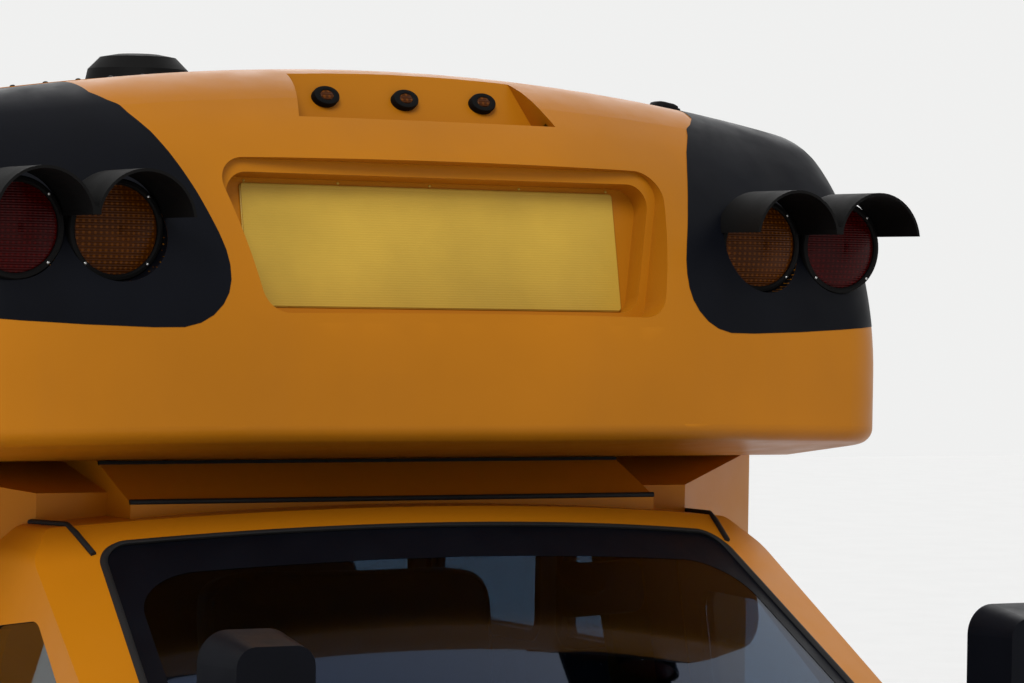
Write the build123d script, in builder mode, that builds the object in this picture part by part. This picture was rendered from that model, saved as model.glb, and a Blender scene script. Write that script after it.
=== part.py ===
"""Small school bus on a cutaway van chassis: front is -Y, up is +Z, the ground is z = 0."""
from build123d import *
from math import asin, atan2, cos, degrees, radians, sin, sqrt
import os

os.makedirs("parts", exist_ok=True)

# Driving dimensions of the whole bus, in millimetres
BUMPER_FRONT = -3450
BUMPER_REAR = 3450
HALF_WIDTH = 1155
ROOF_TOP = 2902
CROWN_RADIUS = 5200
SHOULDER_RADIUS = 175
WALL = 40
SKIRT_BOTTOM = 450
FLOOR_TOP = 750
FLOOR_THICKNESS = 40
BODY_FRONT = -1060
BODY_REAR = 3380
ROOF_DEEP = 652
ROOF_RAIL = ROOF_TOP - ROOF_DEEP
SEAM = 1

# Front cap with its sign
CAP_FRONT = -1780
CAP_TOP_RADIUS = 300
CAP_TOP_TURN = 40
CAP_AXIS_Z = ROOF_RAIL
CAP_SKIN = 20
CAP_BOTTOM_FRONT = CAP_AXIS_Z - 140
CAP_BOTTOM_REAR = CAP_BOTTOM_FRONT - 56
CAP_SOFFIT_REAR_Y = -1270
CAP_EDGE_RADIUS = 36
SIGN_SET_BACK = 205
SIGN_Y = CAP_FRONT + SIGN_SET_BACK
SIGN_Z = CAP_AXIS_Z + 263
SIGN_RAKE = 11
SIGN_WIDTH = 900
SIGN_HEIGHT = 257
SIGN_THICKNESS = 6
RECESS_FLOOR_WIDTH = SIGN_WIDTH + 140
RECESS_LIP_WIDTH = SIGN_WIDTH + 190
RECESS_FLOOR_HEIGHT = SIGN_HEIGHT + 28
RECESS_LIP_HEIGHT = SIGN_HEIGHT + 83
RECESS_SIDE_ANGLE = 78
RECESS_CORNER = 60
RECESS_STEP = 55
MARKER_FACE_Y = CAP_FRONT + 354
MARKER_FACE_Z = ROOF_TOP - 70
MARKER_FACE_LEAN = 25
MARKER_LEDGE_Z = MARKER_FACE_Z - 47
MARKER_POCKET_TOP = 258
MARKER_POCKET_HALF = 312
MARKER_POCKET_TALL = 130
MARKER_SPACING = 192
MARKER_LONG = 60
MARKER_SHORT = 44
MARKER_DEPTH = 14

# Warning lamps and their hoods
LAMP_Z = CAP_AXIS_Z + 286
AMBER_LAMP_X = 775
LAMP_SPACING = 216
RED_LAMP_X = AMBER_LAMP_X + LAMP_SPACING
LAMP_DIAMETER = 180
LAMP_RING_DIAMETER = 208
LAMP_FACE_Y = CAP_FRONT + 122
LAMP_BULGE = 16
LAMP_LENS_BACK = 45
LAMP_HOUSING_BACK = 55
HOOD_LENGTH = 155
HOOD_THICKNESS = 6
HOOD_RISE = 12
HOOD_RADIUS = LAMP_SPACING / 2
HOOD_CUT = 14
VISOR_ROOT = 14
SIDE_MARKER_Z = CAP_AXIS_Z - 5
SIDE_MARKER_BACK = 235
SIDE_MARKER_DEPTH = 42
SIDE_MARKER_LONG = 130
SIDE_MARKER_TALL = 110

# Cab of the van
CAB_FRONT = -2720
CAB_BOTTOM = 620
CAB_ROOF = CAP_BOTTOM_REAR - 89
CAB_ROOF_EDGE = CAB_ROOF - 40
CAB_ROOF_EDGE_X = 830
CAB_ROOF_CORNER = 70
CAB_BELT_X = 1000
CAB_BELT_Z = 1150
GLASSHOUSE = CAB_ROOF - CAB_BELT_Z
CAB_SILL_X = 975
CAB_SKIN = 40
TUNNEL_HALF = 660
CAB_FLOOR_HALF = 925
GLASS_RADIUS = 3600
GLASS_TOP_Y = -1650
GLASS_TOP_Z = CAB_ROOF - 51
COWL_Z = 1232
GLASS_RUN = GLASS_TOP_Y - CAB_FRONT
GLASS_RAKE = degrees(atan2(GLASS_TOP_Z - COWL_Z, GLASS_RUN))
GLASS_LENGTH = sqrt((GLASS_TOP_Z - COWL_Z) ** 2 + GLASS_RUN ** 2)
GLASS_THICKNESS = 6
WINDSCREEN_TOP_HALF = 748
WINDSCREEN_BASE_HALF = 900
WINDSCREEN_TOP = 28
WINDSCREEN_CORNER = 65
WINDSCREEN_TOP_RISE = WINDSCREEN_TOP + 58
WINDSCREEN_BASE_MIDDLE = 70 - GLASS_LENGTH
WINDSCREEN_BASE_CORNER = WINDSCREEN_BASE_MIDDLE + 135

FAIRING_FRONT = -1450
FAIRING_HALF = 640

# Nose, hood and grille
NOSE_FRONT = -3400
NOSE_CORNER_Y = -3335
NOSE_CORNER_RADIUS = 240
NOSE_SLOPE = 11
NOSE_CROWN_RADIUS = 3000
NOSE_BOTTOM = 600
NOSE_SKIN = 25
HOOD_HALF_REAR = 820
HOOD_HALF_FRONT = 800
HOOD_FRONT_Y = -3325
HOOD_CORNER = 60
HOOD_LIP_Z = 985
HOOD_GAP = 10
HOOD_SEAM = 8
HOOD_HINGE_X = 250
HOOD_HINGE_Z = COWL_Z - 5
GRILLE_HALF = 430
GRILLE_LOW = 720
GRILLE_HIGH = 960
GRILLE_BARS = 4
HEADLAMP_INNER = 500
HEADLAMP_OUTER = 790

# Wheels, axles and steering
FRONT_AXLE_Y = -2580
REAR_AXLE_Y = 1460
TYRE_RADIUS = 372
TYRE_WIDTH = 223
RIM_RADIUS = 206
FRONT_WHEEL_X = 860
KINGPIN_X = 760
TWIN_OUTER_X = 990
TWIN_INNER_X = 730
ARCH_RADIUS = 470
LINER_THICKNESS = 6
LINER_INNER_X = 500

# Chassis rails
RAIL_X = 430
RAIL_FRONT = -3335
RAIL_TOP = FLOOR_TOP - FLOOR_THICKNESS
RAIL_DEEP = 170
RAIL_WEB = 8

# Doors
DRIVER_DOOR_FRONT = -2110
DRIVER_DOOR_REAR = -1215
DOOR_SILL = 665
DOOR_GAP = 6
BARREL_RADIUS = 8
BARREL_SEAT = 0.3
ENTRY_FRONT = -985
ENTRY_REAR = -255
ENTRY_BOTTOM = 480
ENTRY_TOP = ROOF_RAIL - 120
LEAF_THICKNESS = 35
REAR_DOOR_HALF = 480
REAR_DOOR_BOTTOM = 770
REAR_DOOR_TOP = ROOF_RAIL - 50

# Side windows of the bus body
WINDOW_WIDTH = 620
WINDOW_HEIGHT = 620
WINDOW_SILL = ROOF_RAIL - 740
RAIL_LOW = 720
RAIL_HIGH = WINDOW_SILL - 90
RAIL_MIDDLE = RAIL_LOW + (RAIL_HIGH - RAIL_LOW) * 18 / 35
WINDOW_CORNER = 60
WINDOW_PITCH = 700
WINDOW_FRAME = 30
WINDOW_LAST_Y = 2960
LEFT_WINDOWS = 6
RIGHT_WINDOWS = 5

# Places of the seats: y of each row's hip point
SEAT_PITCH = 740
SEAT_FIRST_Y = -250
SEAT_ROWS = 5
SEAT_WIDTH = 860
SEAT_HALF_AISLE = 220


# Engine, axles and what sits on them
ENGINE_Y = -2965
ENGINE_LOW = 560
ENGINE_WIDE = 520
ENGINE_LONG = 470
ENGINE_TALL = 440
KNUCKLE_TALL = 129.4
SPINDLE_RADIUS = 30
HUB_OUTER = 140
SHAFT_FRONT = -2500
DISC_SET = 70
HAND_HOLES = 8

# Driver's place
DRIVER_X = 480
STEER_Y = -1960
STEER_Z = 1200
STEER_TILT = 40
STEER_RADIUS = 195

# Stop arm, mirrors, vents, tank and exhaust
STOP_HINGE_Y = -960
STOP_STAND = 26
STOP_PIN = RAIL_HIGH - RAIL_MIDDLE - 170
STOP_Z = (RAIL_MIDDLE + RAIL_HIGH) / 2
STOP_SIZE = 440
STOP_REACH = 300
CROSS_MIRROR_X = 860
CROSS_MIRROR_Y = -2520
CROSS_MIRROR_Z = 1655
FENDER_TOP = 1120
SIDE_MIRROR_X = 1170
SIDE_MIRROR_Y = -2240
SIDE_MIRROR_Z = 1480
VENT_X = -30
VENT_Y = -100
VENT_RADIUS = 134
VENT_TALL = 94
POD_X = 842
POD_Y = -1140
TANK_X = 700
TANK_Z = 540
EXHAUST_X = -560
EXHAUST_Z = 540


def front_view(y):
    """Plane across the bus at y: local x is X, local y is Z, normal forwards."""
    return Plane.XZ.offset(-y)


def side_view(x):
    """Plane along the bus at x: local x is Y, local y is Z, normal to the driver's side."""
    return Plane.YZ.offset(x)


def body_section(inset, bottom):
    """Cross-section of the bus body: crowned roof, round shoulders, upright sides."""
    half = HALF_WIDTH - inset
    top = ROOF_TOP - inset
    crown = CROWN_RADIUS - inset
    shoulder = SHOULDER_RADIUS - inset
    reach = half - shoulder
    shoulder_z = top - crown + sqrt((crown - shoulder) ** 2 - reach ** 2)
    lean = asin(reach / (crown - shoulder))
    seam = (crown * sin(lean), top - crown + crown * cos(lean))
    turn = (radians(90) - lean) / 2
    middle = (reach + shoulder * cos(turn), shoulder_z + shoulder * sin(turn))
    with BuildSketch() as section:
        with BuildLine():
            ThreePointArc((-seam[0], seam[1]), (0, top), seam)
            ThreePointArc(seam, middle, (half, shoulder_z))
            Polyline((half, shoulder_z), (half, bottom), (-half, bottom), (-half, shoulder_z))
            ThreePointArc((-half, shoulder_z), (-middle[0], middle[1]), (-seam[0], seam[1]))
        make_face()
    return section.sketch


def body_ring(low, high):
    """Wall ring of the body between two heights."""
    with BuildSketch() as ring:
        add(body_section(0, low))
        add(body_section(WALL, low - 10), mode=Mode.SUBTRACT)
        with Locations((0, (low + high) / 2)):
            Rectangle(2 * HALF_WIDTH + 20, high - low, mode=Mode.INTERSECT)
    return ring.sketch


def cap_envelope(inset):
    """Space of the front cap: the body section swept over the top and down the face."""
    turn = radians(CAP_TOP_TURN)
    top_axis_z = ROOF_TOP - CAP_TOP_RADIUS
    reach = (top_axis_z - CAP_AXIS_Z) / cos(turn)
    face_radius = CAP_TOP_RADIUS + reach
    face_axis_y = CAP_FRONT + face_radius
    top_axis_y = face_axis_y - reach * sin(turn)
    low_front = CAP_FRONT - 50
    with BuildPart() as envelope:
        with BuildSketch(front_view(top_axis_y)):
            add(body_section(inset, top_axis_z))
        revolve(axis=Axis((0, top_axis_y, top_axis_z), (1, 0, 0)), revolution_arc=CAP_TOP_TURN)
        with BuildSketch(front_view(top_axis_y)):
            add(body_section(inset, CAP_AXIS_Z))
        extrude(amount=-(BODY_FRONT - top_axis_y))
        face_start = Plane(
            origin=(0, face_axis_y, CAP_AXIS_Z), x_dir=(1, 0, 0), z_dir=(0, -cos(turn), -sin(turn)))
        with BuildSketch(face_start):
            with Locations((0, face_radius - ROOF_TOP)):
                add(body_section(inset, ROOF_TOP - face_radius))
        revolve(axis=Axis((0, face_axis_y, CAP_AXIS_Z), (1, 0, 0)), revolution_arc=90 - CAP_TOP_TURN)
        low_plane = Plane(origin=(0, face_axis_y, CAP_AXIS_Z), x_dir=(1, 0, 0), z_dir=(0, 0, -1))
        with BuildSketch(low_plane):
            with Locations((0, face_radius - ROOF_TOP)):
                add(body_section(inset, ROOF_TOP - face_radius - (BODY_FRONT - face_axis_y)))
        extrude(amount=CAP_AXIS_Z - CAP_BOTTOM_REAR + 50)
        with BuildSketch(side_view(0)):
            with BuildLine():
                Polyline(
                    (BODY_FRONT, ROOF_TOP + 50), (BODY_FRONT, CAP_BOTTOM_REAR + inset),
                    (CAP_SOFFIT_REAR_Y, CAP_BOTTOM_REAR + inset),
                    (CAP_FRONT + 60, CAP_BOTTOM_FRONT + inset),
                    (low_front, CAP_BOTTOM_FRONT + inset), (low_front, ROOF_TOP + 50), close=True)
            make_face()
        extrude(amount=HALF_WIDTH + 50, both=True, mode=Mode.INTERSECT)
    return envelope.part


def rounded_chin(shape, radius):
    """Cap space with the edge between its face and its underside rounded."""
    boxes = [(edge, edge.bounding_box()) for edge in shape.edges()]
    chin = [
        edge for edge, box in boxes
        if box.min.Z > CAP_BOTTOM_REAR + 30 and box.max.Z < CAP_BOTTOM_FRONT + CAP_SKIN + 5
        and box.max.Y < CAP_SOFFIT_REAR_Y + 200 and box.center().Y < CAP_FRONT + 150]
    chin = [edge for edge in chin if edge.geom_type != GeomType.LINE]
    return fillet(chin, radius)


def cab_section():
    """Front profile of the cab: upright lower sides, glasshouse leaning in, crowned roof."""
    with BuildSketch() as section:
        with BuildLine():
            ThreePointArc(
                (-CAB_ROOF_EDGE_X, CAB_ROOF_EDGE), (0, CAB_ROOF), (CAB_ROOF_EDGE_X, CAB_ROOF_EDGE))
            Polyline(
                (CAB_ROOF_EDGE_X, CAB_ROOF_EDGE), (CAB_ROOF_EDGE_X + 55, CAB_ROOF_EDGE - 60),
                (CAB_BELT_X, CAB_BELT_Z),
                (CAB_SILL_X, NOSE_BOTTOM - 100), (-CAB_SILL_X, NOSE_BOTTOM - 100),
                (-CAB_BELT_X, CAB_BELT_Z), (-CAB_ROOF_EDGE_X - 55, CAB_ROOF_EDGE - 60),
                (-CAB_ROOF_EDGE_X, CAB_ROOF_EDGE))
        make_face()
        fillet(section.vertices().group_by(Axis.Y)[-1], CAB_ROOF_CORNER * 0.5)
        fillet(section.vertices().group_by(Axis.Y)[-3], 60)
        fillet(section.vertices().group_by(Axis.Y)[1], 90)
    return section.sketch


def cab_envelope(inset, bottom=CAB_BOTTOM):
    """Space inside the cab's outer skin, shrunk by inset."""
    rake = radians(GLASS_RAKE)
    with BuildPart() as envelope:
        with BuildSketch(front_view(CAB_FRONT + inset)):
            add(cab_section())
            if inset:
                offset(amount=-inset, kind=Kind.INTERSECTION, mode=Mode.REPLACE)
        extrude(amount=-(BODY_FRONT + 100 - CAB_FRONT))
        with BuildSketch(side_view(0)):
            with Locations(((CAB_FRONT + BODY_FRONT) / 2, bottom + inset + 1000)):
                Rectangle(BODY_FRONT - CAB_FRONT + 400, 2000)
        extrude(amount=HALF_WIDTH, both=True, mode=Mode.INTERSECT)
        along_glass = Plane(
            origin=(0, GLASS_TOP_Y, GLASS_TOP_Z), x_dir=(1, 0, 0), z_dir=(0, cos(rake), sin(rake)))
        with BuildSketch(along_glass):
            with Locations((0, GLASS_RADIUS)):
                Circle(GLASS_RADIUS - inset)
        extrude(amount=3000, both=True, mode=Mode.INTERSECT)
    return envelope.part


def nose_envelope(inset):
    """Space inside the nose's outer skin, shrunk by inset."""
    slope = radians(NOSE_SLOPE)
    with BuildPart() as envelope:
        with BuildSketch(Plane.XY.offset(NOSE_BOTTOM)) as plan:
            with BuildLine():
                ThreePointArc(
                    (-CAB_BELT_X - 40, NOSE_CORNER_Y), (0, NOSE_FRONT), (CAB_BELT_X + 40, NOSE_CORNER_Y))
                Polyline(
                    (CAB_BELT_X + 40, NOSE_CORNER_Y), (CAB_BELT_X + 40, CAB_FRONT + 200),
                    (-CAB_BELT_X - 40, CAB_FRONT + 200), (-CAB_BELT_X - 40, NOSE_CORNER_Y))
            make_face()
            fillet(plan.vertices().group_by(Axis.Y)[0], NOSE_CORNER_RADIUS)
            if inset:
                offset(amount=-inset, mode=Mode.REPLACE)
        extrude(amount=700)
        with BuildSketch(front_view(CAB_FRONT)):
            add(cab_section())
            if inset:
                offset(amount=-inset, kind=Kind.INTERSECTION, mode=Mode.REPLACE)
        extrude(amount=CAB_FRONT - NOSE_FRONT + 50, mode=Mode.INTERSECT)
        along_hood = Plane(
            origin=(0, CAB_FRONT, COWL_Z), x_dir=(1, 0, 0), z_dir=(0, cos(slope), sin(slope)))
        with BuildSketch(along_hood):
            with Locations((0, NOSE_CROWN_RADIUS)):
                Circle(NOSE_CROWN_RADIUS - inset)
        extrude(amount=1500, both=True, mode=Mode.INTERSECT)
    return envelope.part


def driver_door_outline(grow):
    """Side outline of the driver's door, its front edge leaning back along the pillar."""
    with BuildSketch() as outline:
        with BuildLine():
            Polyline(
                (DRIVER_DOOR_FRONT, DOOR_SILL), (DRIVER_DOOR_FRONT, CAB_BELT_Z + 0.32 * GLASSHOUSE),
                (-1560, CAB_BELT_Z + 0.82 * GLASSHOUSE),
                (DRIVER_DOOR_REAR, CAB_BELT_Z + 0.84 * GLASSHOUSE), (DRIVER_DOOR_REAR, DOOR_SILL), close=True)
        make_face()
        fillet(outline.vertices(), 45)
        if grow:
            offset(amount=grow, mode=Mode.REPLACE)
    return outline.sketch


def driver_window_outline(grow):
    """Side outline of the glass in the driver's door."""
    with BuildSketch() as outline:
        with BuildLine():
            Polyline(
                (-2030, CAB_BELT_Z + 45), (-2020, CAB_BELT_Z + 0.26 * GLASSHOUSE),
                (-1530, CAB_BELT_Z + 0.72 * GLASSHOUSE), (-1290, CAB_BELT_Z + 0.73 * GLASSHOUSE),
                (-1275, CAB_BELT_Z + 45), close=True)
        make_face()
        fillet(outline.vertices(), 50)
        if grow:
            offset(amount=grow, mode=Mode.REPLACE)
    return outline.sketch


def curb_window_outline(grow):
    """Side outline of the fixed front side window on the curb side."""
    with BuildSketch() as outline:
        with BuildLine():
            Polyline(
                (-2170, CAB_BELT_Z - 20), (-2170, CAB_BELT_Z + 0.19 * GLASSHOUSE),
                (-1590, CAB_BELT_Z + 0.735 * GLASSHOUSE), (-1370, CAB_BELT_Z + 0.70 * GLASSHOUSE),
                (-1270, CAB_BELT_Z - 20), close=True)
        make_face()
        fillet(outline.vertices(), 60)
        if grow:
            offset(amount=grow, mode=Mode.REPLACE)
    return outline.sketch


def windscreen_outline(grow):
    """Outline of the windscreen, local y up along the glass from its top middle."""
    with BuildSketch() as outline:
        with BuildLine():
            ThreePointArc(
                (-WINDSCREEN_TOP_HALF, WINDSCREEN_TOP_RISE), (0, WINDSCREEN_TOP),
                (WINDSCREEN_TOP_HALF, WINDSCREEN_TOP_RISE))
            Line((WINDSCREEN_TOP_HALF, WINDSCREEN_TOP_RISE), (WINDSCREEN_BASE_HALF, WINDSCREEN_BASE_CORNER))
            ThreePointArc(
                (WINDSCREEN_BASE_HALF, WINDSCREEN_BASE_CORNER), (0, WINDSCREEN_BASE_MIDDLE),
                (-WINDSCREEN_BASE_HALF, WINDSCREEN_BASE_CORNER))
            Line((-WINDSCREEN_BASE_HALF, WINDSCREEN_BASE_CORNER), (-WINDSCREEN_TOP_HALF, WINDSCREEN_TOP_RISE))
        make_face()
        fillet(outline.vertices(), WINDSCREEN_CORNER)
        if grow:
            offset(amount=grow, mode=Mode.REPLACE)
    return outline.sketch


glass_lean = radians(GLASS_RAKE)
glass_plane = Plane(
    origin=(0, GLASS_TOP_Y, GLASS_TOP_Z), x_dir=(1, 0, 0), z_dir=(0, -sin(glass_lean), cos(glass_lean)))
sign_lean = radians(SIGN_RAKE)
sign_plane = Plane(
    origin=(0, SIGN_Y, SIGN_Z), x_dir=(1, 0, 0), z_dir=(0, -cos(sign_lean), sin(sign_lean)))
marker_lean = radians(MARKER_FACE_LEAN)
marker_plane = Plane(
    origin=(0, MARKER_FACE_Y, MARKER_FACE_Z), x_dir=(1, 0, 0),
    z_dir=(0, -cos(marker_lean), sin(marker_lean)))

# Front cap: moulded shell with the sign recess and the marker pocket
cap_outer = rounded_chin(cap_envelope(0), CAP_EDGE_RADIUS)
cap_inner = rounded_chin(cap_envelope(CAP_SKIN), CAP_EDGE_RADIUS - CAP_SKIN)
with BuildPart() as recess_tub:
    with BuildSketch(sign_plane.offset(-CAP_SKIN)):
        Trapezoid(
            RECESS_LIP_WIDTH + 2 * CAP_SKIN, RECESS_LIP_HEIGHT + 2 * CAP_SKIN,
            RECESS_SIDE_ANGLE, rotation=180)
    extrude(amount=400)
    add(cap_outer, mode=Mode.INTERSECT)
with BuildPart() as marker_tub:
    with BuildSketch(marker_plane.offset(-CAP_SKIN)):
        with Locations((0, 20)):
            Rectangle(2 * MARKER_POCKET_HALF + 2 * CAP_SKIN, 180)
    extrude(amount=200)
    with BuildSketch(side_view(0)):
        with Locations((MARKER_FACE_Y, MARKER_LEDGE_Z - CAP_SKIN + 100)):
            Rectangle(400, 200)
    extrude(amount=HALF_WIDTH, both=True, mode=Mode.INTERSECT)
    add(cap_outer, mode=Mode.INTERSECT)
side_marker_y = CAP_FRONT + SIDE_MARKER_BACK
with BuildPart() as side_marker_tubs:
    for side in (-1, 1):
        with Locations((side * (HALF_WIDTH - SIDE_MARKER_DEPTH - CAP_SKIN + 100), side_marker_y, SIDE_MARKER_Z)):
            Box(200, SIDE_MARKER_LONG + 2 * CAP_SKIN, SIDE_MARKER_TALL + 2 * CAP_SKIN)
    add(cap_outer, mode=Mode.INTERSECT)
with BuildPart() as front_cap:
    add(cap_outer)
    add(cap_inner, mode=Mode.SUBTRACT)
    add(recess_tub.part)
    add(marker_tub.part)
    add(side_marker_tubs.part)
    with BuildSketch(sign_plane.offset(RECESS_STEP)) as lip:
        Trapezoid(RECESS_LIP_WIDTH, RECESS_LIP_HEIGHT, RECESS_SIDE_ANGLE, rotation=180)
        fillet(lip.vertices(), RECESS_CORNER)
    extrude(amount=400, mode=Mode.SUBTRACT)
    with BuildSketch(sign_plane) as floor:
        Trapezoid(RECESS_FLOOR_WIDTH, RECESS_FLOOR_HEIGHT, RECESS_SIDE_ANGLE, rotation=180)
        fillet(floor.vertices(), RECESS_CORNER - 12)
    extrude(amount=400, mode=Mode.SUBTRACT)
    slope = sin(marker_lean) / cos(marker_lean)
    ledge_back = MARKER_FACE_Y - (MARKER_FACE_Z - MARKER_LEDGE_Z) * slope
    with BuildSketch(Plane.XY.offset(MARKER_LEDGE_Z)):
        with Locations((0, ledge_back - 200)):
            Rectangle(2 * MARKER_POCKET_HALF, 400)
    with BuildSketch(Plane.XY.offset(MARKER_LEDGE_Z + MARKER_POCKET_TALL)):
        with Locations((0, ledge_back + MARKER_POCKET_TALL * slope - 200)):
            Rectangle(2 * MARKER_POCKET_TOP, 400)
    loft(ruled=True, mode=Mode.SUBTRACT)
    for side in (-1, 1):
        with Locations((side * (HALF_WIDTH - SIDE_MARKER_DEPTH + 50), side_marker_y, SIDE_MARKER_Z)):
            Box(100, SIDE_MARKER_LONG, SIDE_MARKER_TALL, mode=Mode.SUBTRACT)
    for lamp_x in (AMBER_LAMP_X, RED_LAMP_X):
        for side in (-1, 1):
            with BuildSketch(front_view(LAMP_FACE_Y)):
                with Locations((side * lamp_x, LAMP_Z)):
                    Circle(LAMP_RING_DIAMETER / 2)
            extrude(amount=300, mode=Mode.SUBTRACT)
            with BuildSketch(front_view(LAMP_FACE_Y)):
                with Locations((side * lamp_x, LAMP_Z)):
                    Circle(LAMP_RING_DIAMETER / 2)
            extrude(amount=-60, mode=Mode.SUBTRACT)
front_cap.part.label = "front_cap"

# Blank sign panel on the recess floor
with BuildPart() as sign_panel:
    with BuildSketch(sign_plane) as sign:
        Rectangle(SIGN_WIDTH, SIGN_HEIGHT)
        fillet(sign.vertices(), 6)
    extrude(amount=SIGN_THICKNESS)
sign_panel.part.label = "sign_panel"

# Warning lamps: a cup housing with a visor over it, and a bulged lens
LAMPS = [(side * lamp_x) for side in (-1, 1) for lamp_x in (AMBER_LAMP_X, RED_LAMP_X)]
with BuildPart() as lamp_hoods:
    for lamp_x in LAMPS:
        with BuildSketch(front_view(LAMP_FACE_Y + LAMP_HOUSING_BACK)):
            with Locations((lamp_x, LAMP_Z)):
                Circle(LAMP_RING_DIAMETER / 2 - SEAM)
        extrude(amount=LAMP_HOUSING_BACK)
        with BuildSketch(front_view(LAMP_FACE_Y + LAMP_LENS_BACK)):
            with Locations((lamp_x, LAMP_Z)):
                Circle(LAMP_DIAMETER / 2 + 1)
        extrude(amount=60, mode=Mode.SUBTRACT)
    for lamp_x in LAMPS:
        with BuildSketch(front_view(LAMP_FACE_Y + VISOR_ROOT)):
            with Locations((lamp_x, LAMP_Z + HOOD_RISE)):
                Circle(HOOD_RADIUS)
                Circle(HOOD_RADIUS - HOOD_THICKNESS, mode=Mode.SUBTRACT)
            with Locations((lamp_x, LAMP_Z + HOOD_RISE + HOOD_CUT + HOOD_RADIUS)):
                Rectangle(2 * HOOD_RADIUS, 2 * HOOD_RADIUS, mode=Mode.INTERSECT)
        extrude(amount=HOOD_LENGTH + VISOR_ROOT)
    for side in (-1, 1):
        with BuildSketch(front_view(LAMP_FACE_Y + VISOR_ROOT)):
            with Locations((side * (AMBER_LAMP_X + RED_LAMP_X) / 2, LAMP_Z + HOOD_RISE + HOOD_CUT + 8)):
                Rectangle(3 * HOOD_THICKNESS, 16)
        extrude(amount=HOOD_LENGTH + VISOR_ROOT)
    add(front_cap.part, mode=Mode.SUBTRACT)
lamp_hoods.part.label = "lamp_hoods"


def lamp_lens(x):
    """Bulged round lens seated in its housing."""
    radius = LAMP_DIAMETER / 2
    dome = (radius ** 2 + LAMP_BULGE ** 2) / (2 * LAMP_BULGE)
    half_turn = asin(radius / dome) / 2
    middle = (LAMP_FACE_Y - LAMP_BULGE + dome * (1 - cos(half_turn)), LAMP_Z + dome * sin(half_turn))
    back = LAMP_FACE_Y + LAMP_LENS_BACK
    with BuildPart() as lens:
        with BuildSketch(side_view(x)):
            with BuildLine():
                Polyline((LAMP_FACE_Y - LAMP_BULGE, LAMP_Z), (back, LAMP_Z), (back, LAMP_Z + radius),
                         (LAMP_FACE_Y, LAMP_Z + radius))
                ThreePointArc(
                    (LAMP_FACE_Y, LAMP_Z + radius), middle, (LAMP_FACE_Y - LAMP_BULGE, LAMP_Z))
            make_face()
        revolve(axis=Axis((x, 0, LAMP_Z), (0, 1, 0)))
    return lens.part


ambers = [lamp_lens(side * AMBER_LAMP_X) for side in (-1, 1)]
reds = [lamp_lens(side * RED_LAMP_X) for side in (-1, 1)]
with BuildPart() as amber_lenses:
    for lens in ambers:
        add(lens)
    for number in (-1, 0, 1):
        with BuildSketch(marker_plane):
            with Locations((number * MARKER_SPACING, 0)):
                Ellipse(MARKER_LONG / 2, MARKER_SHORT / 2)
        extrude(amount=MARKER_DEPTH, taper=12)
    for side in (-1, 1):
        with BuildSketch(side_view(side * (HALF_WIDTH - SIDE_MARKER_DEPTH))):
            with Locations((side_marker_y, SIDE_MARKER_Z)):
                Ellipse(MARKER_LONG / 2, MARKER_SHORT / 2)
        extrude(amount=side * MARKER_DEPTH)
amber_lenses.part.label = "amber_lenses"

REAR_LAMPS = [(x, z) for x in (-990, 990) for z in (900, 1080)]
with BuildPart() as red_lenses:
    for lens in reds:
        add(lens)
    for x, z in REAR_LAMPS:
        with BuildSketch(front_view(BODY_REAR)):
            with Locations((x, z)):
                Circle(80)
        extrude(amount=-18)
    for x in (-900, -700, 700, 900):
        with BuildSketch(front_view(BODY_REAR)):
            with Locations((x, ROOF_RAIL + 170)):
                Circle(LAMP_DIAMETER / 2)
        extrude(amount=-20)
red_lenses.part.label = "red_lenses"

# Body shell: roof, two sides, rear wall and the bulkhead behind the cap
left_window_ys = [WINDOW_LAST_Y - n * WINDOW_PITCH for n in range(LEFT_WINDOWS)]
right_window_ys = [WINDOW_LAST_Y - n * WINDOW_PITCH for n in range(RIGHT_WINDOWS)]
with BuildPart() as roof_shell:
    with BuildSketch(front_view(BODY_FRONT)):
        add(body_ring(ROOF_RAIL, ROOF_TOP + 10))
    extrude(amount=-(BODY_REAR - WALL - BODY_FRONT))
roof_shell.part.label = "roof_shell"

WALL_SIDES = ((-1, right_window_ys), (1, left_window_ys))
walls = {}
for side, window_ys in WALL_SIDES:
    with BuildPart() as wall:
        with BuildSketch(side_view(side * (HALF_WIDTH - WALL))):
            with BuildLine():
                Polyline(
                    (BODY_FRONT, SKIRT_BOTTOM), (BODY_REAR - WALL, SKIRT_BOTTOM),
                    (BODY_REAR - WALL, ROOF_RAIL), (BODY_FRONT, ROOF_RAIL), close=True)
            make_face()
            with Locations(*[(y, WINDOW_SILL + WINDOW_HEIGHT / 2) for y in window_ys]):
                RectangleRounded(WINDOW_WIDTH, WINDOW_HEIGHT, WINDOW_CORNER, mode=Mode.SUBTRACT)
            with Locations((REAR_AXLE_Y, TYRE_RADIUS)):
                Circle(ARCH_RADIUS, mode=Mode.SUBTRACT)
            if side < 0:
                with Locations(((ENTRY_FRONT + ENTRY_REAR) / 2, ENTRY_TOP / 2)):
                    Rectangle(ENTRY_REAR - ENTRY_FRONT, ENTRY_TOP, mode=Mode.SUBTRACT)
        extrude(amount=side * WALL)
    walls[side] = wall.part
walls[-1].label = "side_wall_right"
walls[1].label = "side_wall_left"

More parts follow.
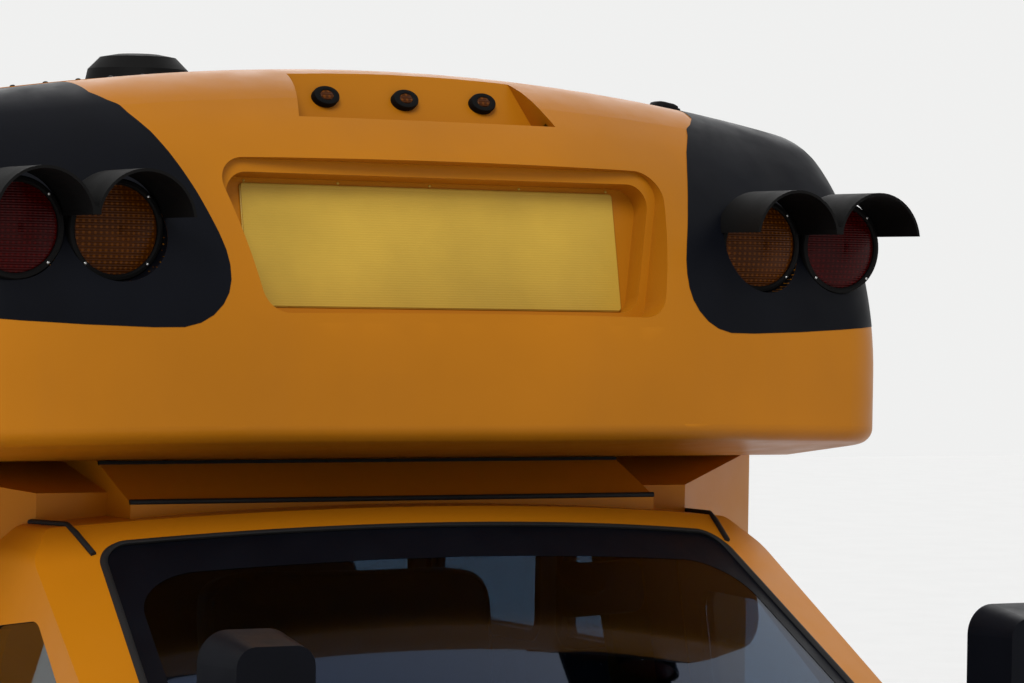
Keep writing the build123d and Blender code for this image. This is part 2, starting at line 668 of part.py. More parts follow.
REAR_PANE_WIDTH = 420
REAR_PANE_HEIGHT = 560
REAR_PANES = [(x, ROOF_RAIL - 430) for x in (-800, 800)]
with BuildPart() as rear_wall:
    with BuildSketch(front_view(BODY_REAR - WALL)):
        add(body_section(0, SKIRT_BOTTOM))
        with Locations((0, (REAR_DOOR_BOTTOM + REAR_DOOR_TOP) / 2)):
            RectangleRounded(
                2 * REAR_DOOR_HALF, REAR_DOOR_TOP - REAR_DOOR_BOTTOM, 60, mode=Mode.SUBTRACT)
        with Locations(*REAR_PANES):
            RectangleRounded(REAR_PANE_WIDTH, REAR_PANE_HEIGHT, WINDOW_CORNER, mode=Mode.SUBTRACT)
    extrude(amount=-WALL)
rear_wall.part.label = "rear_wall"

with BuildPart() as front_bulkhead:
    with BuildSketch(front_view(BODY_FRONT)):
        add(body_section(WALL, CAB_BOTTOM))
        with Locations((0, RAIL_TOP - 200)):
            Rectangle(2 * TUNNEL_HALF, 400, mode=Mode.SUBTRACT)
        with BuildLine():
            Polyline((-800, FLOOR_TOP), (-800, CAB_ROOF - 465), (-720, CAB_ROOF - 65),
                     (720, CAB_ROOF - 65), (800, CAB_ROOF - 465), (800, FLOOR_TOP), close=True)
        make_face(mode=Mode.SUBTRACT)
    extrude(amount=-WALL)
front_bulkhead.part.label = "front_bulkhead"

# Floor with the rear wheel boxes and the stepwell
TREAD_DEEP = 250
inner_half = HALF_WIDTH - WALL
floor_front = BODY_FRONT + WALL
floor_rear = BODY_REAR - WALL
with BuildPart() as body_floor:
    with BuildSketch(Plane.XY.offset(FLOOR_TOP - FLOOR_THICKNESS)):
        with Locations((0, (floor_front + floor_rear) / 2)):
            Rectangle(2 * inner_half, floor_rear - floor_front)
        with Locations((-inner_half + 250, (ENTRY_FRONT + ENTRY_REAR) / 2)):
            Rectangle(500, ENTRY_REAR - ENTRY_FRONT - 20, mode=Mode.SUBTRACT)
        with Locations((-855, REAR_AXLE_Y), (855, REAR_AXLE_Y)):
            Rectangle(570, 2 * ARCH_RADIUS, mode=Mode.SUBTRACT)
    extrude(amount=FLOOR_THICKNESS)
    for side in (-1, 1):
        with BuildSketch(side_view(side * 560)):
            with Locations((REAR_AXLE_Y, TYRE_RADIUS)):
                Circle(ARCH_RADIUS + 12)
            with Locations((REAR_AXLE_Y, TYRE_RADIUS - 300)):
                Rectangle(3 * ARCH_RADIUS, 600 + 2 * (FLOOR_TOP - FLOOR_THICKNESS - TYRE_RADIUS),
                          mode=Mode.SUBTRACT)
        extrude(amount=side * (inner_half - 560))
        with BuildSketch(side_view(side * 572)):
            with Locations((REAR_AXLE_Y, TYRE_RADIUS)):
                Circle(ARCH_RADIUS)
        extrude(amount=side * (HALF_WIDTH - 572), mode=Mode.SUBTRACT)
    step_mid = (ENTRY_FRONT + ENTRY_REAR) / 2
    step_long = ENTRY_REAR - ENTRY_FRONT - 20
    for tread, tread_z in ((0.5, 470), (1.5, 610)):
        with Locations((TREAD_DEEP * tread - inner_half, step_mid, tread_z)):
            Box(TREAD_DEEP, step_long, 20)
    for riser, low, high in ((1, 460, 620), (2, 600, FLOOR_TOP - 30)):
        with Locations((TREAD_DEEP * riser - inner_half - 5 * (riser - 1), step_mid, (low + high) / 2)):
            Box(20, step_long, high - low)
    for end_y in (ENTRY_FRONT + 20, ENTRY_REAR - 20):
        with Locations((TREAD_DEEP - inner_half, end_y, 590)):
            Box(2 * TREAD_DEEP, 20, 260)
body_floor.part.label = "body_floor"

# Rub rails along the sides
RAIL_HEIGHTS = (RAIL_LOW, RAIL_MIDDLE, RAIL_HIGH)
with BuildPart() as rub_rails:
    for side in (-1, 1):
        for rail_z in RAIL_HEIGHTS:
            start = ENTRY_REAR + 60 if side < 0 else BODY_FRONT + 40
            spans = [(start, BODY_REAR - 60)]
            if rail_z < TYRE_RADIUS + ARCH_RADIUS:
                spans = [(start, REAR_AXLE_Y - ARCH_RADIUS - 40), (REAR_AXLE_Y + ARCH_RADIUS + 40, BODY_REAR - 60)]
            for first, last in spans:
                with BuildSketch(Plane.XZ.offset(-first)) as rail_section:
                    with BuildLine():
                        x0 = side * HALF_WIDTH
                        x1 = side * (HALF_WIDTH + 12)
                        Polyline((x0, rail_z - 40), (x1, rail_z - 22), (x1, rail_z + 22), (x0, rail_z + 40),
                                 close=True)
                    make_face()
                extrude(amount=-(last - first))
rub_rails.part.label = "rub_rails"

# Window frames and glass of the body
window_middle = WINDOW_SILL + WINDOW_HEIGHT / 2
with BuildPart() as window_frames:
    for side, window_ys in WALL_SIDES:
        with BuildSketch(side_view(side * (HALF_WIDTH - WALL))):
            with Locations(*[(y, window_middle) for y in window_ys]):
                RectangleRounded(WINDOW_WIDTH - 2 * SEAM, WINDOW_HEIGHT - 2 * SEAM, WINDOW_CORNER - SEAM)
                RectangleRounded(
                    WINDOW_WIDTH - 2 * WINDOW_FRAME, WINDOW_HEIGHT - 2 * WINDOW_FRAME,
                    WINDOW_CORNER - WINDOW_FRAME, mode=Mode.SUBTRACT)
                Rectangle(WINDOW_WIDTH - 20, WINDOW_FRAME)
        extrude(amount=side * (WALL + 6))
window_frames.part.label = "window_frames"

with BuildPart() as window_glass:
    for side, window_ys in WALL_SIDES:
        with BuildSketch(side_view(side * (HALF_WIDTH - 24))):
            with Locations(*[(y, window_middle) for y in window_ys]):
                RectangleRounded(
                    WINDOW_WIDTH - 2 * WINDOW_FRAME, WINDOW_HEIGHT - 2 * WINDOW_FRAME,
                    WINDOW_CORNER - WINDOW_FRAME)
                Rectangle(WINDOW_WIDTH, WINDOW_FRAME, mode=Mode.SUBTRACT)
        extrude(amount=side * 5)
    with BuildSketch(front_view(BODY_REAR - 24)):
        with Locations(*REAR_PANES):
            RectangleRounded(REAR_PANE_WIDTH, REAR_PANE_HEIGHT, WINDOW_CORNER)
    extrude(amount=-5)
window_glass.part.label = "window_glass"

# Passenger benches: each a cushion, a high back and a leg frame
with BuildPart() as passenger_seats:
    for row in range(SEAT_ROWS):
        row_y = SEAT_FIRST_Y + row * SEAT_PITCH
        for side in (-1, 1):
            if side < 0 and row == 0:
                continue
            middle_x = side * (SEAT_HALF_AISLE + SEAT_WIDTH / 2)
            with BuildSketch(side_view(middle_x)) as bench:
                with BuildLine():
                    Polyline(
                        (row_y - 200, FLOOR_TOP + 330), (row_y + 200, FLOOR_TOP + 310),
                        (row_y + 330, FLOOR_TOP + 960), (row_y + 250, FLOOR_TOP + 970),
                        (row_y + 160, FLOOR_TOP + 430), (row_y - 200, FLOOR_TOP + 460), close=True)
                make_face()
                fillet(bench.vertices(), 30)
            extrude(amount=SEAT_WIDTH / 2, both=True)
            with BuildSketch(side_view(side * (SEAT_HALF_AISLE + 80))):
                with Locations((row_y - 120, FLOOR_TOP + 170), (row_y + 140, FLOOR_TOP + 170)):
                    Rectangle(30, 340)
            extrude(amount=side * 30)
passenger_seats.part.label = "passenger_seats"

# Cab: one hollow shell with its openings
cab_outer = cab_envelope(0)
cab_inner = cab_envelope(CAB_SKIN)
nose_outer = nose_envelope(0)
nose_inner = nose_envelope(NOSE_SKIN)
with BuildPart() as cab_shell:
    add(cab_outer)
    add(cab_inner, mode=Mode.SUBTRACT)
    with BuildSketch(side_view(0)):
        with Locations(((CAB_FRONT + BODY_FRONT) / 2, 1500)):
            Rectangle(BODY_FRONT - CAB_FRONT, 2000)
    extrude(amount=HALF_WIDTH, both=True, mode=Mode.INTERSECT)
    with Locations(((0, (CAB_FRONT + BODY_FRONT) / 2, RAIL_TOP - 100))):
        Box(2 * TUNNEL_HALF, 3000, 200, mode=Mode.SUBTRACT)
    with BuildSketch(glass_plane.offset(-200)):
        add(windscreen_outline(0))
    extrude(amount=300, mode=Mode.SUBTRACT)
    with BuildSketch(side_view(600)):
        add(driver_door_outline(DOOR_GAP))
    extrude(amount=500, mode=Mode.SUBTRACT)
    with BuildSketch(side_view(-600)):
        add(curb_window_outline(0))
    extrude(amount=-500, mode=Mode.SUBTRACT)
    for side in (-1, 1):
        with BuildSketch(side_view(side * LINER_INNER_X)):
            with Locations((FRONT_AXLE_Y, TYRE_RADIUS)):
                Circle(ARCH_RADIUS)
        extrude(amount=side * 600, mode=Mode.SUBTRACT)
    with BuildSketch(Plane.XY.offset(RAIL_TOP)):
        with Locations((0, (CAB_FRONT + BODY_FRONT) / 2)):
            Rectangle(2 * CAB_FLOOR_HALF, BODY_FRONT - CAB_FRONT)
        for side in (-1, 1):
            with Locations((side * (LINER_INNER_X + 300), FRONT_AXLE_Y)):
                Rectangle(600, 2 * ARCH_RADIUS, mode=Mode.SUBTRACT)
    extrude(amount=FLOOR_THICKNESS)
cab_shell.part.label = "cab_shell"

with BuildPart() as windshield:
    add(cab_envelope(4))
    add(cab_envelope(4 + GLASS_THICKNESS), mode=Mode.SUBTRACT)
    with BuildSketch(glass_plane.offset(-200)):
        add(windscreen_outline(0))
    extrude(amount=300, mode=Mode.INTERSECT)
windshield.part.label = "windshield"

with BuildPart() as curb_glass:
    add(cab_envelope(4))
    add(cab_envelope(4 + GLASS_THICKNESS), mode=Mode.SUBTRACT)
    with BuildSketch(side_view(-600)):
        add(curb_window_outline(0))
    extrude(amount=-500, mode=Mode.INTERSECT)
curb_glass.part.label = "front_side_glass"

# Driver's door and its glass
with BuildPart() as driver_door:
    add(cab_outer)
    add(cab_inner, mode=Mode.SUBTRACT)
    with BuildSketch(side_view(600)):
        add(driver_door_outline(0))
    extrude(amount=500, mode=Mode.INTERSECT)
    with BuildSketch(side_view(600)):
        add(driver_window_outline(0))
    extrude(amount=500, mode=Mode.SUBTRACT)
    for hinge_z in (CAB_BELT_Z - 110, CAB_BELT_Z):
        with Locations((CAB_BELT_X + BARREL_SEAT + BARREL_RADIUS, DRIVER_DOOR_FRONT - DOOR_GAP / 2, hinge_z)):
            Cylinder(BARREL_RADIUS, 60)
        with Locations((CAB_BELT_X - 4, DRIVER_DOOR_FRONT + 28, hinge_z)):
            Box(24, 56, 60)
driver_door.part.label = "driver_door"

with BuildPart() as driver_door_glass:
    add(cab_envelope(18))
    add(cab_envelope(18 + GLASS_THICKNESS), mode=Mode.SUBTRACT)
    with BuildSketch(side_view(600)):
        add(driver_window_outline(0))
    extrude(amount=500, mode=Mode.INTERSECT)
driver_door_glass.part.label = "driver_door_glass"

# Fairing from the cab's roof and sides out to the bus body
with BuildPart() as roof_fairing:
    with BuildSketch(front_view(BODY_FRONT)) as wide:
        with BuildLine():
            Polyline((-HALF_WIDTH, 620), (HALF_WIDTH, 620), (HALF_WIDTH, CAP_BOTTOM_REAR),
                     (-HALF_WIDTH, CAP_BOTTOM_REAR), close=True)
        make_face()
    with BuildSketch(front_view(-1330)) as narrow:
        with BuildLine():
            Polyline((-800, 620), (800, 620), (800, CAB_ROOF + 25), (-800, CAB_ROOF + 25), close=True)
        make_face()
    loft()
    with BuildSketch(side_view(0)):
        with BuildLine():
            Polyline(
                (FAIRING_FRONT, CAB_ROOF - 25), (FAIRING_FRONT, CAB_ROOF + 6),
                (FAIRING_FRONT + 12, CAB_ROOF + 14), (CAP_SOFFIT_REAR_Y, CAP_BOTTOM_REAR),
                (BODY_FRONT, CAP_BOTTOM_REAR), (BODY_FRONT, CAB_ROOF - 25), close=True)
        make_face()
    extrude(amount=FAIRING_HALF, both=True)
    add(cab_outer, mode=Mode.SUBTRACT)
roof_fairing.part.label = "roof_fairing"

# Hood over the engine, hinged at the cowl
hood_plane = Plane.XY.offset(HOOD_LIP_Z)
with BuildPart() as hood:
    add(nose_outer)
    add(nose_inner, mode=Mode.SUBTRACT)
    with BuildSketch(hood_plane) as hood_plan:
        with BuildLine():
            Polyline(
                (-HOOD_HALF_REAR, CAB_FRONT - HOOD_GAP), (HOOD_HALF_REAR, CAB_FRONT - HOOD_GAP),
                (HOOD_HALF_FRONT, HOOD_FRONT_Y), (-HOOD_HALF_FRONT, HOOD_FRONT_Y), close=True)
        make_face()
        fillet(hood_plan.vertices().group_by(Axis.Y)[0], HOOD_CORNER)
    extrude(amount=500, mode=Mode.INTERSECT)
    for hinge_x in (-HOOD_HINGE_X, HOOD_HINGE_X):
        with BuildSketch(side_view(hinge_x)):
            with Locations((CAB_FRONT - HOOD_GAP, HOOD_HINGE_Z)):
                Circle(HOOD_GAP - BARREL_SEAT)
        extrude(amount=30, both=True)
hood.part.label = "hood"

with BuildPart() as front_fenders:
    add(nose_outer)
    add(nose_inner, mode=Mode.SUBTRACT)
    with BuildSketch(hood_plane.offset(-HOOD_SEAM)) as hood_hole:
        with BuildLine():
            Polyline(
                (-HOOD_HALF_REAR, CAB_FRONT + HOOD_GAP), (HOOD_HALF_REAR, CAB_FRONT + HOOD_GAP),
                (HOOD_HALF_FRONT, HOOD_FRONT_Y), (-HOOD_HALF_FRONT, HOOD_FRONT_Y), close=True)
        make_face()
        fillet(hood_hole.vertices().group_by(Axis.Y)[0], HOOD_CORNER)
        offset(amount=HOOD_SEAM, mode=Mode.REPLACE)
    extrude(amount=500, mode=Mode.SUBTRACT)
    with BuildSketch(front_view(NOSE_CORNER_Y + 150)):
        with Locations((0, (GRILLE_LOW + GRILLE_HIGH) / 2)):
            RectangleRounded(2 * GRILLE_HALF, GRILLE_HIGH - GRILLE_LOW, 30)
        for side in (-1, 1):
            with Locations((side * (HEADLAMP_INNER + HEADLAMP_OUTER) / 2, (GRILLE_LOW + GRILLE_HIGH) / 2)):
                RectangleRounded(HEADLAMP_OUTER - HEADLAMP_INNER, GRILLE_HIGH - GRILLE_LOW - 20, 30)
    extrude(amount=400, mode=Mode.SUBTRACT)
    for side in (-1, 1):
        with BuildSketch(side_view(side * LINER_INNER_X)):
            with Locations((FRONT_AXLE_Y, TYRE_RADIUS)):
                Circle(ARCH_RADIUS)
        extrude(amount=side * 600, mode=Mode.SUBTRACT)
front_fenders.part.label = "front_fenders"

with BuildPart() as grille:
    with BuildSketch(front_view(NOSE_FRONT + 70)):
        with Locations((0, (GRILLE_LOW + GRILLE_HIGH) / 2)):
            RectangleRounded(2 * GRILLE_HALF - 0.6, GRILLE_HIGH - GRILLE_LOW - 0.6, 29.7)
            RectangleRounded(2 * GRILLE_HALF - 50, GRILLE_HIGH - GRILLE_LOW - 50, 20, mode=Mode.SUBTRACT)
    extrude(amount=64)
    bar_gap = (GRILLE_HIGH - GRILLE_LOW - 50) / (GRILLE_BARS + 1)
    for bar in range(GRILLE_BARS):
        with BuildSketch(front_view(NOSE_FRONT + 60)):
            with Locations((0, GRILLE_LOW + 25 + bar_gap * (bar + 1))):
                Rectangle(2 * GRILLE_HALF - 30, 12)
        extrude(amount=45)
    with BuildSketch(front_view(NOSE_FRONT + 70)):
        with Locations((-150, (GRILLE_LOW + GRILLE_HIGH) / 2), (150, (GRILLE_LOW + GRILLE_HIGH) / 2)):
            Rectangle(12, GRILLE_HIGH - GRILLE_LOW - 20)
    extrude(amount=50)
grille.part.label = "grille"

with BuildPart() as headlamps:
    add(nose_envelope(6))
    with BuildSketch(front_view(NOSE_FRONT + 150)):
        for side in (-1, 1):
            with Locations((side * (HEADLAMP_INNER + HEADLAMP_OUTER) / 2, (GRILLE_LOW + GRILLE_HIGH) / 2)):
                RectangleRounded(
                    HEADLAMP_OUTER - HEADLAMP_INNER - 2, GRILLE_HIGH - GRILLE_LOW - 22, 29)
    extrude(amount=400, mode=Mode.INTERSECT)
headlamps.part.label = "headlamps"

# Bumpers
with BuildPart() as bumpers:
    with BuildSketch(Plane.XY.offset(420)) as bumper_plan:
        with BuildLine():
            ThreePointArc((-980, -3330), (0, BUMPER_FRONT), (980, -3330))
            Line((980, -3330), (980, -3250))
            Line((980, -3250), (900, -3250))
            ThreePointArc((900, -3250), (0, BUMPER_FRONT + 90), (-900, -3250))
            Line((-900, -3250), (-980, -3250))
            Line((-980, -3250), (-980, -3330))
        make_face()
    extrude(amount=170)
    with BuildSketch(Plane.XY.offset(430)) as rear_bar:
        with Locations((0, (BODY_REAR + BUMPER_REAR) / 2)):
            Rectangle(2 * HALF_WIDTH - 80, BUMPER_REAR - BODY_REAR)
        fillet(rear_bar.vertices().group_by(Axis.Y)[-1], 30)
    extrude(amount=200)
bumpers.part.label = "bumpers"

# Chassis frame: two channel rails and cross-members
with BuildPart() as chassis_frame:
    for side in (-1, 1):
        with BuildSketch(front_view(RAIL_FRONT)):
            with BuildLine():
                web = side * RAIL_X
                lip = side * (RAIL_X - 60)
                skin = side * RAIL_WEB
                Polyline(
                    (web, RAIL_TOP), (lip, RAIL_TOP), (lip, RAIL_TOP - RAIL_WEB),
                    (web - skin, RAIL_TOP - RAIL_WEB), (web - skin, RAIL_TOP - RAIL_DEEP + RAIL_WEB),
                    (lip, RAIL_TOP - RAIL_DEEP + RAIL_WEB), (lip, RAIL_TOP - RAIL_DEEP),
                    (web, RAIL_TOP - RAIL_DEEP), close=True)
            make_face()
        extrude(amount=-(BODY_REAR - WALL - RAIL_FRONT))
    for member_y in (-3260, -1300, -200, 700, 2300, 3200):
        with BuildSketch(side_view(0)):
            with Locations((member_y, RAIL_TOP - RAIL_DEEP / 2)):
                Rectangle(70, RAIL_DEEP - 40)
        extrude(amount=RAIL_X - RAIL_WEB, both=True)
    with BuildSketch(side_view(0)):
        with Locations((ENGINE_Y, ENGINE_LOW - 10)):
            Rectangle(160, 20)
    extrude(amount=RAIL_X - RAIL_WEB, both=True)
chassis_frame.part.label = "chassis_frame"

# Engine: one plain block between the rails
with BuildPart() as engine_block:
    with BuildSketch(Plane.XY.offset(ENGINE_LOW)):
        with Locations((0, ENGINE_Y)):
            RectangleRounded(ENGINE_WIDE, ENGINE_LONG, 60)
    extrude(amount=ENGINE_TALL)
engine_block.part.label = "engine_block"

# Front axle beam with its springs, and the two knuckles that swing on it
with BuildPart() as front_suspension:
    with BuildSketch(side_view(0)):
        with Locations((FRONT_AXLE_Y, 300)):
            RectangleRounded(80, 90, 12)
    extrude(amount=KINGPIN_X - 60, both=True)
    for side in (-1, 1):
        with Locations((side * 560, FRONT_AXLE_Y, 430)):
            Cylinder(55, 180)
        with Locations((side * 480, FRONT_AXLE_Y, 530)):
            Box(230, 120, 20)
        with BuildSketch(side_view(side * (KINGPIN_X - 60))):
            with Locations((FRONT_AXLE_Y, 450)):
                Rectangle(70, 26)
            with Locations((FRONT_AXLE_Y, 294)):
                Rectangle(70, 26)
        extrude(amount=side * 80)
        with Locations((side * (KINGPIN_X - 75), FRONT_AXLE_Y, 372)):
            Box(30, 70, 182)
front_suspension.part.label = "front_suspension"

knuckles = {}
for side in (-1, 1):
    with BuildPart() as knuckle:
        with Locations((side * KINGPIN_X, FRONT_AXLE_Y, TYRE_RADIUS)):
            Cylinder(28, KNUCKLE_TALL)
        with BuildSketch(side_view(side * (KINGPIN_X + 18))):
            with Locations((FRONT_AXLE_Y, TYRE_RADIUS)):
                Circle(42)
        extrude(amount=side * 18)
        with BuildSketch(side_view(side * (KINGPIN_X + 30))):
            with Locations((FRONT_AXLE_Y, TYRE_RADIUS)):
                Circle(SPINDLE_RADIUS)
        extrude(amount=side * (HUB_OUTER - 30))
    knuckles[side] = knuckle.part
knuckles[-1].label = "knuckle_right"
knuckles[1].label = "knuckle_left"

# Rear axle: tube, differential, leaf springs and the propeller shaft
with BuildPart() as rear_axle:
    with BuildSketch(side_view(0)):
        with Locations((REAR_AXLE_Y, TYRE_RADIUS)):
            Circle(50)
    extrude(amount=TWIN_INNER_X - 130, both=True)
    with Locations((0, REAR_AXLE_Y, TYRE_RADIUS)):
        Sphere(150)
    for side in (-1, 1):
        with BuildSketch(side_view(side * (TWIN_INNER_X - 132))):
            with Locations((REAR_AXLE_Y, TYRE_RADIUS)):
                Circle(SPINDLE_RADIUS)
        extrude(amount=side * (TWIN_OUTER_X - TWIN_INNER_X + 132))
        with BuildSketch(side_view(side * 500)):
            with BuildLine():
                ThreePointArc((REAR_AXLE_Y - 620, 560), (REAR_AXLE_Y, 430), (REAR_AXLE_Y + 620, 560))
                Line((REAR_AXLE_Y + 620, 560), (REAR_AXLE_Y + 620, 535))
                ThreePointArc((REAR_AXLE_Y + 620, 535), (REAR_AXLE_Y, 385), (REAR_AXLE_Y - 620, 535))
                Line((REAR_AXLE_Y - 620, 535), (REAR_AXLE_Y - 620, 560))
            make_face()
        extrude(amount=35, both=True)
        for hanger_y in (REAR_AXLE_Y - 620, REAR_AXLE_Y + 620):
            with Locations((side * 483, hanger_y, 580)):
                Box(106, 50, 90)
    with BuildSketch(front_view(SHAFT_FRONT)):
        with Locations((0, TYRE_RADIUS + 30)):
            Circle(38)
    extrude(amount=-(REAR_AXLE_Y - 100 - SHAFT_FRONT))
rear_axle.part.label = "rear_axle"

# Wheel liners over the front wheels
with BuildPart() as wheel_liners:
    for side in (-1, 1):
        with BuildSketch(side_view(side * LINER_INNER_X)):
            with Locations((FRONT_AXLE_Y, TYRE_RADIUS)):
                Circle(ARCH_RADIUS)
                Circle(ARCH_RADIUS - LINER_THICKNESS, mode=Mode.SUBTRACT)
            with Locations((FRONT_AXLE_Y, TYRE_RADIUS - ARCH_RADIUS / 2)):
                Rectangle(3 * ARCH_RADIUS, 3 * ARCH_RADIUS / 2, mode=Mode.SUBTRACT)
        extrude(amount=side * (CAB_SILL_X - 30 - LINER_INNER_X))
wheel_liners.part.label = "wheel_liners"


def tyre(x):
    """Tyre ring with rounded shoulders, its bead seated on the rim."""
    half = TYRE_WIDTH / 2
    with BuildPart() as ring:
        with BuildSketch(Plane.XY) as profile:
            with BuildLine():
                Polyline(
                    (x - half * 0.78, RIM_RADIUS), (x + half * 0.78, RIM_RADIUS),
                    (x + half, RIM_RADIUS + 75), (x + half * 0.9, TYRE_RADIUS - 24),
                    (x + half * 0.72, TYRE_RADIUS), (x - half * 0.72, TYRE_RADIUS),
                    (x - half * 0.9, TYRE_RADIUS - 24), (x - half, RIM_RADIUS + 75), close=True)
            make_face()
        revolve(axis=Axis.X)
    return ring.part


def rim(x, face):
    """Steel rim: barrel, disc dished towards face, hub and round hand holes."""
    half = TYRE_WIDTH / 2 * 0.78
    with BuildPart() as wheel:
        with BuildSketch(Plane.XY):
            with BuildLine():
                Polyline(
                    (x - half, RIM_RADIUS - 0.3), (x - half, RIM_RADIUS - 16), (x + half, RIM_RADIUS - 16),
                    (x + half, RIM_RADIUS - 0.3), close=True)
            make_face()
        revolve(axis=Axis.X)
        with BuildSketch(Plane.XY):
            with BuildLine():
                disc_x = x + face * DISC_SET
                hub_x = x + face * (DISC_SET - 45)
                Polyline(
                    (disc_x - face * 60, RIM_RADIUS - 10), (disc_x - face * 48, RIM_RADIUS - 10),
                    (disc_x, 130), (disc_x, 88), (hub_x, 78), (hub_x, SPINDLE_RADIUS + 0.3),
                    (hub_x - face * 12, SPINDLE_RADIUS + 0.3), (hub_x - face * 12, 88),
                    (disc_x - face * 12, 96), (disc_x - face * 12, 124), close=True)
            make_face()
        revolve(axis=Axis.X)
        with BuildSketch(side_view(x - face * 120)):
            with PolarLocations(165, HAND_HOLES):
                Circle(17)
        extrude(amount=face * 300, mode=Mode.SUBTRACT)
    return wheel.part


def on_axle(shape, axle_y):
    """Copy of a wheel piece, moved from the frame's origin to its axle."""
    return shape.moved(Location((0, axle_y, TYRE_RADIUS)))


tyres = {}
rims = {}
for side, name in ((-1, "right"), (1, "left")):
    tyres["front_" + name] = on_axle(tyre(side * FRONT_WHEEL_X), FRONT_AXLE_Y)
    rims["front_" + name] = on_axle(rim(side * FRONT_WHEEL_X, side), FRONT_AXLE_Y)
    with BuildPart() as twin_tyres:
        add(on_axle(tyre(side * TWIN_INNER_X), REAR_AXLE_Y))
        add(on_axle(tyre(side * TWIN_OUTER_X), REAR_AXLE_Y))
    tyres["rear_" + name] = twin_tyres.part
    with BuildPart() as twin_rims:
        add(on_axle(rim(side * TWIN_INNER_X, side), REAR_AXLE_Y))
        add(on_axle(rim(side * TWIN_OUTER_X, -side), REAR_AXLE_Y))
    rims["rear_" + name] = twin_rims.part
for name in tyres:
    tyres[name].label = "tyre_" + name
    rims[name].label = "rim_" + name

# Driver's seat, dashboard and steering wheel
with BuildPart() as driver_seat:
    with BuildSketch(side_view(DRIVER_X)) as seat_side:
        with BuildLine():
            Polyline(
                (-1790, 1020), (-1360, 990), (-1250, 1620), (-1330, 1640), (-1440, 1140), (-1780, 1150),
                close=True)
        make_face()
        fillet(seat_side.vertices(), 30)
    extrude(amount=250, both=True)
    with Locations((DRIVER_X, -1570, (FLOOR_TOP + 1010) / 2)):
        Box(320, 300, 1010 - FLOOR_TOP)
driver_seat.part.label = "driver_seat"

with BuildPart() as dashboard:
    with BuildSketch(side_view(0)) as dash_side:
        with BuildLine():
            Polyline(
                (-2600, 900), (-2230, 900), (-2150, 1060), (-2190, 1150), (-2560, 1150), close=True)
        make_face()
        fillet(dash_side.vertices().group_by(Axis.X)[-1], 30)
    extrude(amount=CAB_BELT_X, both=True)
    add(cab_inner, mode=Mode.INTERSECT)
    column_plane = Plane(
        origin=(DRIVER_X, STEER_Y, STEER_Z), x_dir=(1, 0, 0),
        z_dir=(0, -cos(radians(STEER_TILT)), -sin(radians(STEER_TILT))))
    with BuildSketch(column_plane.offset(45)):
        Circle(38)
    extrude(amount=270)
dashboard.part.label = "dashboard"

wheel_axis = Axis((DRIVER_X, STEER_Y, STEER_Z), (0, cos(radians(STEER_TILT)), sin(radians(STEER_TILT))))
with BuildPart() as steering_wheel:
    with BuildSketch(column_plane) as spokes:
        Circle(58)
        with PolarLocations(0, 3, start_angle=90):
            with Locations((STEER_RADIUS / 2 - 3, 0)):
                Rectangle(STEER_RADIUS - 6, 26)
    extrude(amount=12, both=True)
    with BuildSketch(column_plane):
        Circle(22)
    extrude(amount=44.7)
    with BuildSketch(Plane.YZ.offset(DRIVER_X)):
        with Locations((STEER_Y - STEER_RADIUS * sin(radians(STEER_TILT)),
                        STEER_Z + STEER_RADIUS * cos(radians(STEER_TILT)))):
            RegularPolygon(15, 8)
    revolve(axis=wheel_axis)
steering_wheel.part.label = "steering_wheel"

# Entrance door: two leaves that fold outwards from the middle
leaf_long = (ENTRY_REAR - ENTRY_FRONT - 3 * DOOR_GAP) / 2
leaves = {}
leaf_glass = {}
for side, name in ((-1, "front"), (1, "rear")):
    leaf_y = (ENTRY_FRONT + ENTRY_REAR) / 2 + side * (leaf_long + DOOR_GAP) / 2
    leaf_z = (ENTRY_BOTTOM + ENTRY_TOP) / 2
    with BuildPart() as leaf:
        with BuildSketch(side_view(-HALF_WIDTH)) as leaf_outline:
            with Locations((leaf_y, leaf_z)):
                RectangleRounded(leaf_long, ENTRY_TOP - ENTRY_BOTTOM - DOOR_GAP, 12)
            with Locations((leaf_y, ENTRY_TOP - 490)):
                RectangleRounded(leaf_long - 110, 830, 40, mode=Mode.SUBTRACT)
            with Locations((leaf_y, ENTRY_BOTTOM + 330)):
                RectangleRounded(leaf_long - 110, 500, 40, mode=Mode.SUBTRACT)
        extrude(amount=LEAF_THICKNESS)
        hinge_y = ENTRY_FRONT if side < 0 else ENTRY_REAR
        for hinge_z in (ENTRY_BOTTOM + 150, leaf_z, ENTRY_TOP - 150):
            with Locations((-HALF_WIDTH - BARREL_SEAT - BARREL_RADIUS, hinge_y, hinge_z)):
                Cylinder(BARREL_RADIUS, 90)
            with Locations((-HALF_WIDTH - 2, hinge_y - side * 25, hinge_z)):
                Box(6, 50, 90)
    leaves[name] = leaf.part
    leaves[name].label = "entry_leaf_" + name
    with BuildPart() as panes:
        with BuildSketch(side_view(-HALF_WIDTH + 14)):
            with Locations((leaf_y, ENTRY_TOP - 490)):
                RectangleRounded(leaf_long - 112, 828, 39)
            with Locations((leaf_y, ENTRY_BOTTOM + 330)):
                RectangleRounded(leaf_long - 112, 498, 39)
        extrude(amount=5)
    leaf_glass[name] = panes.part
    leaf_glass[name].label = "entry_glass_" + name

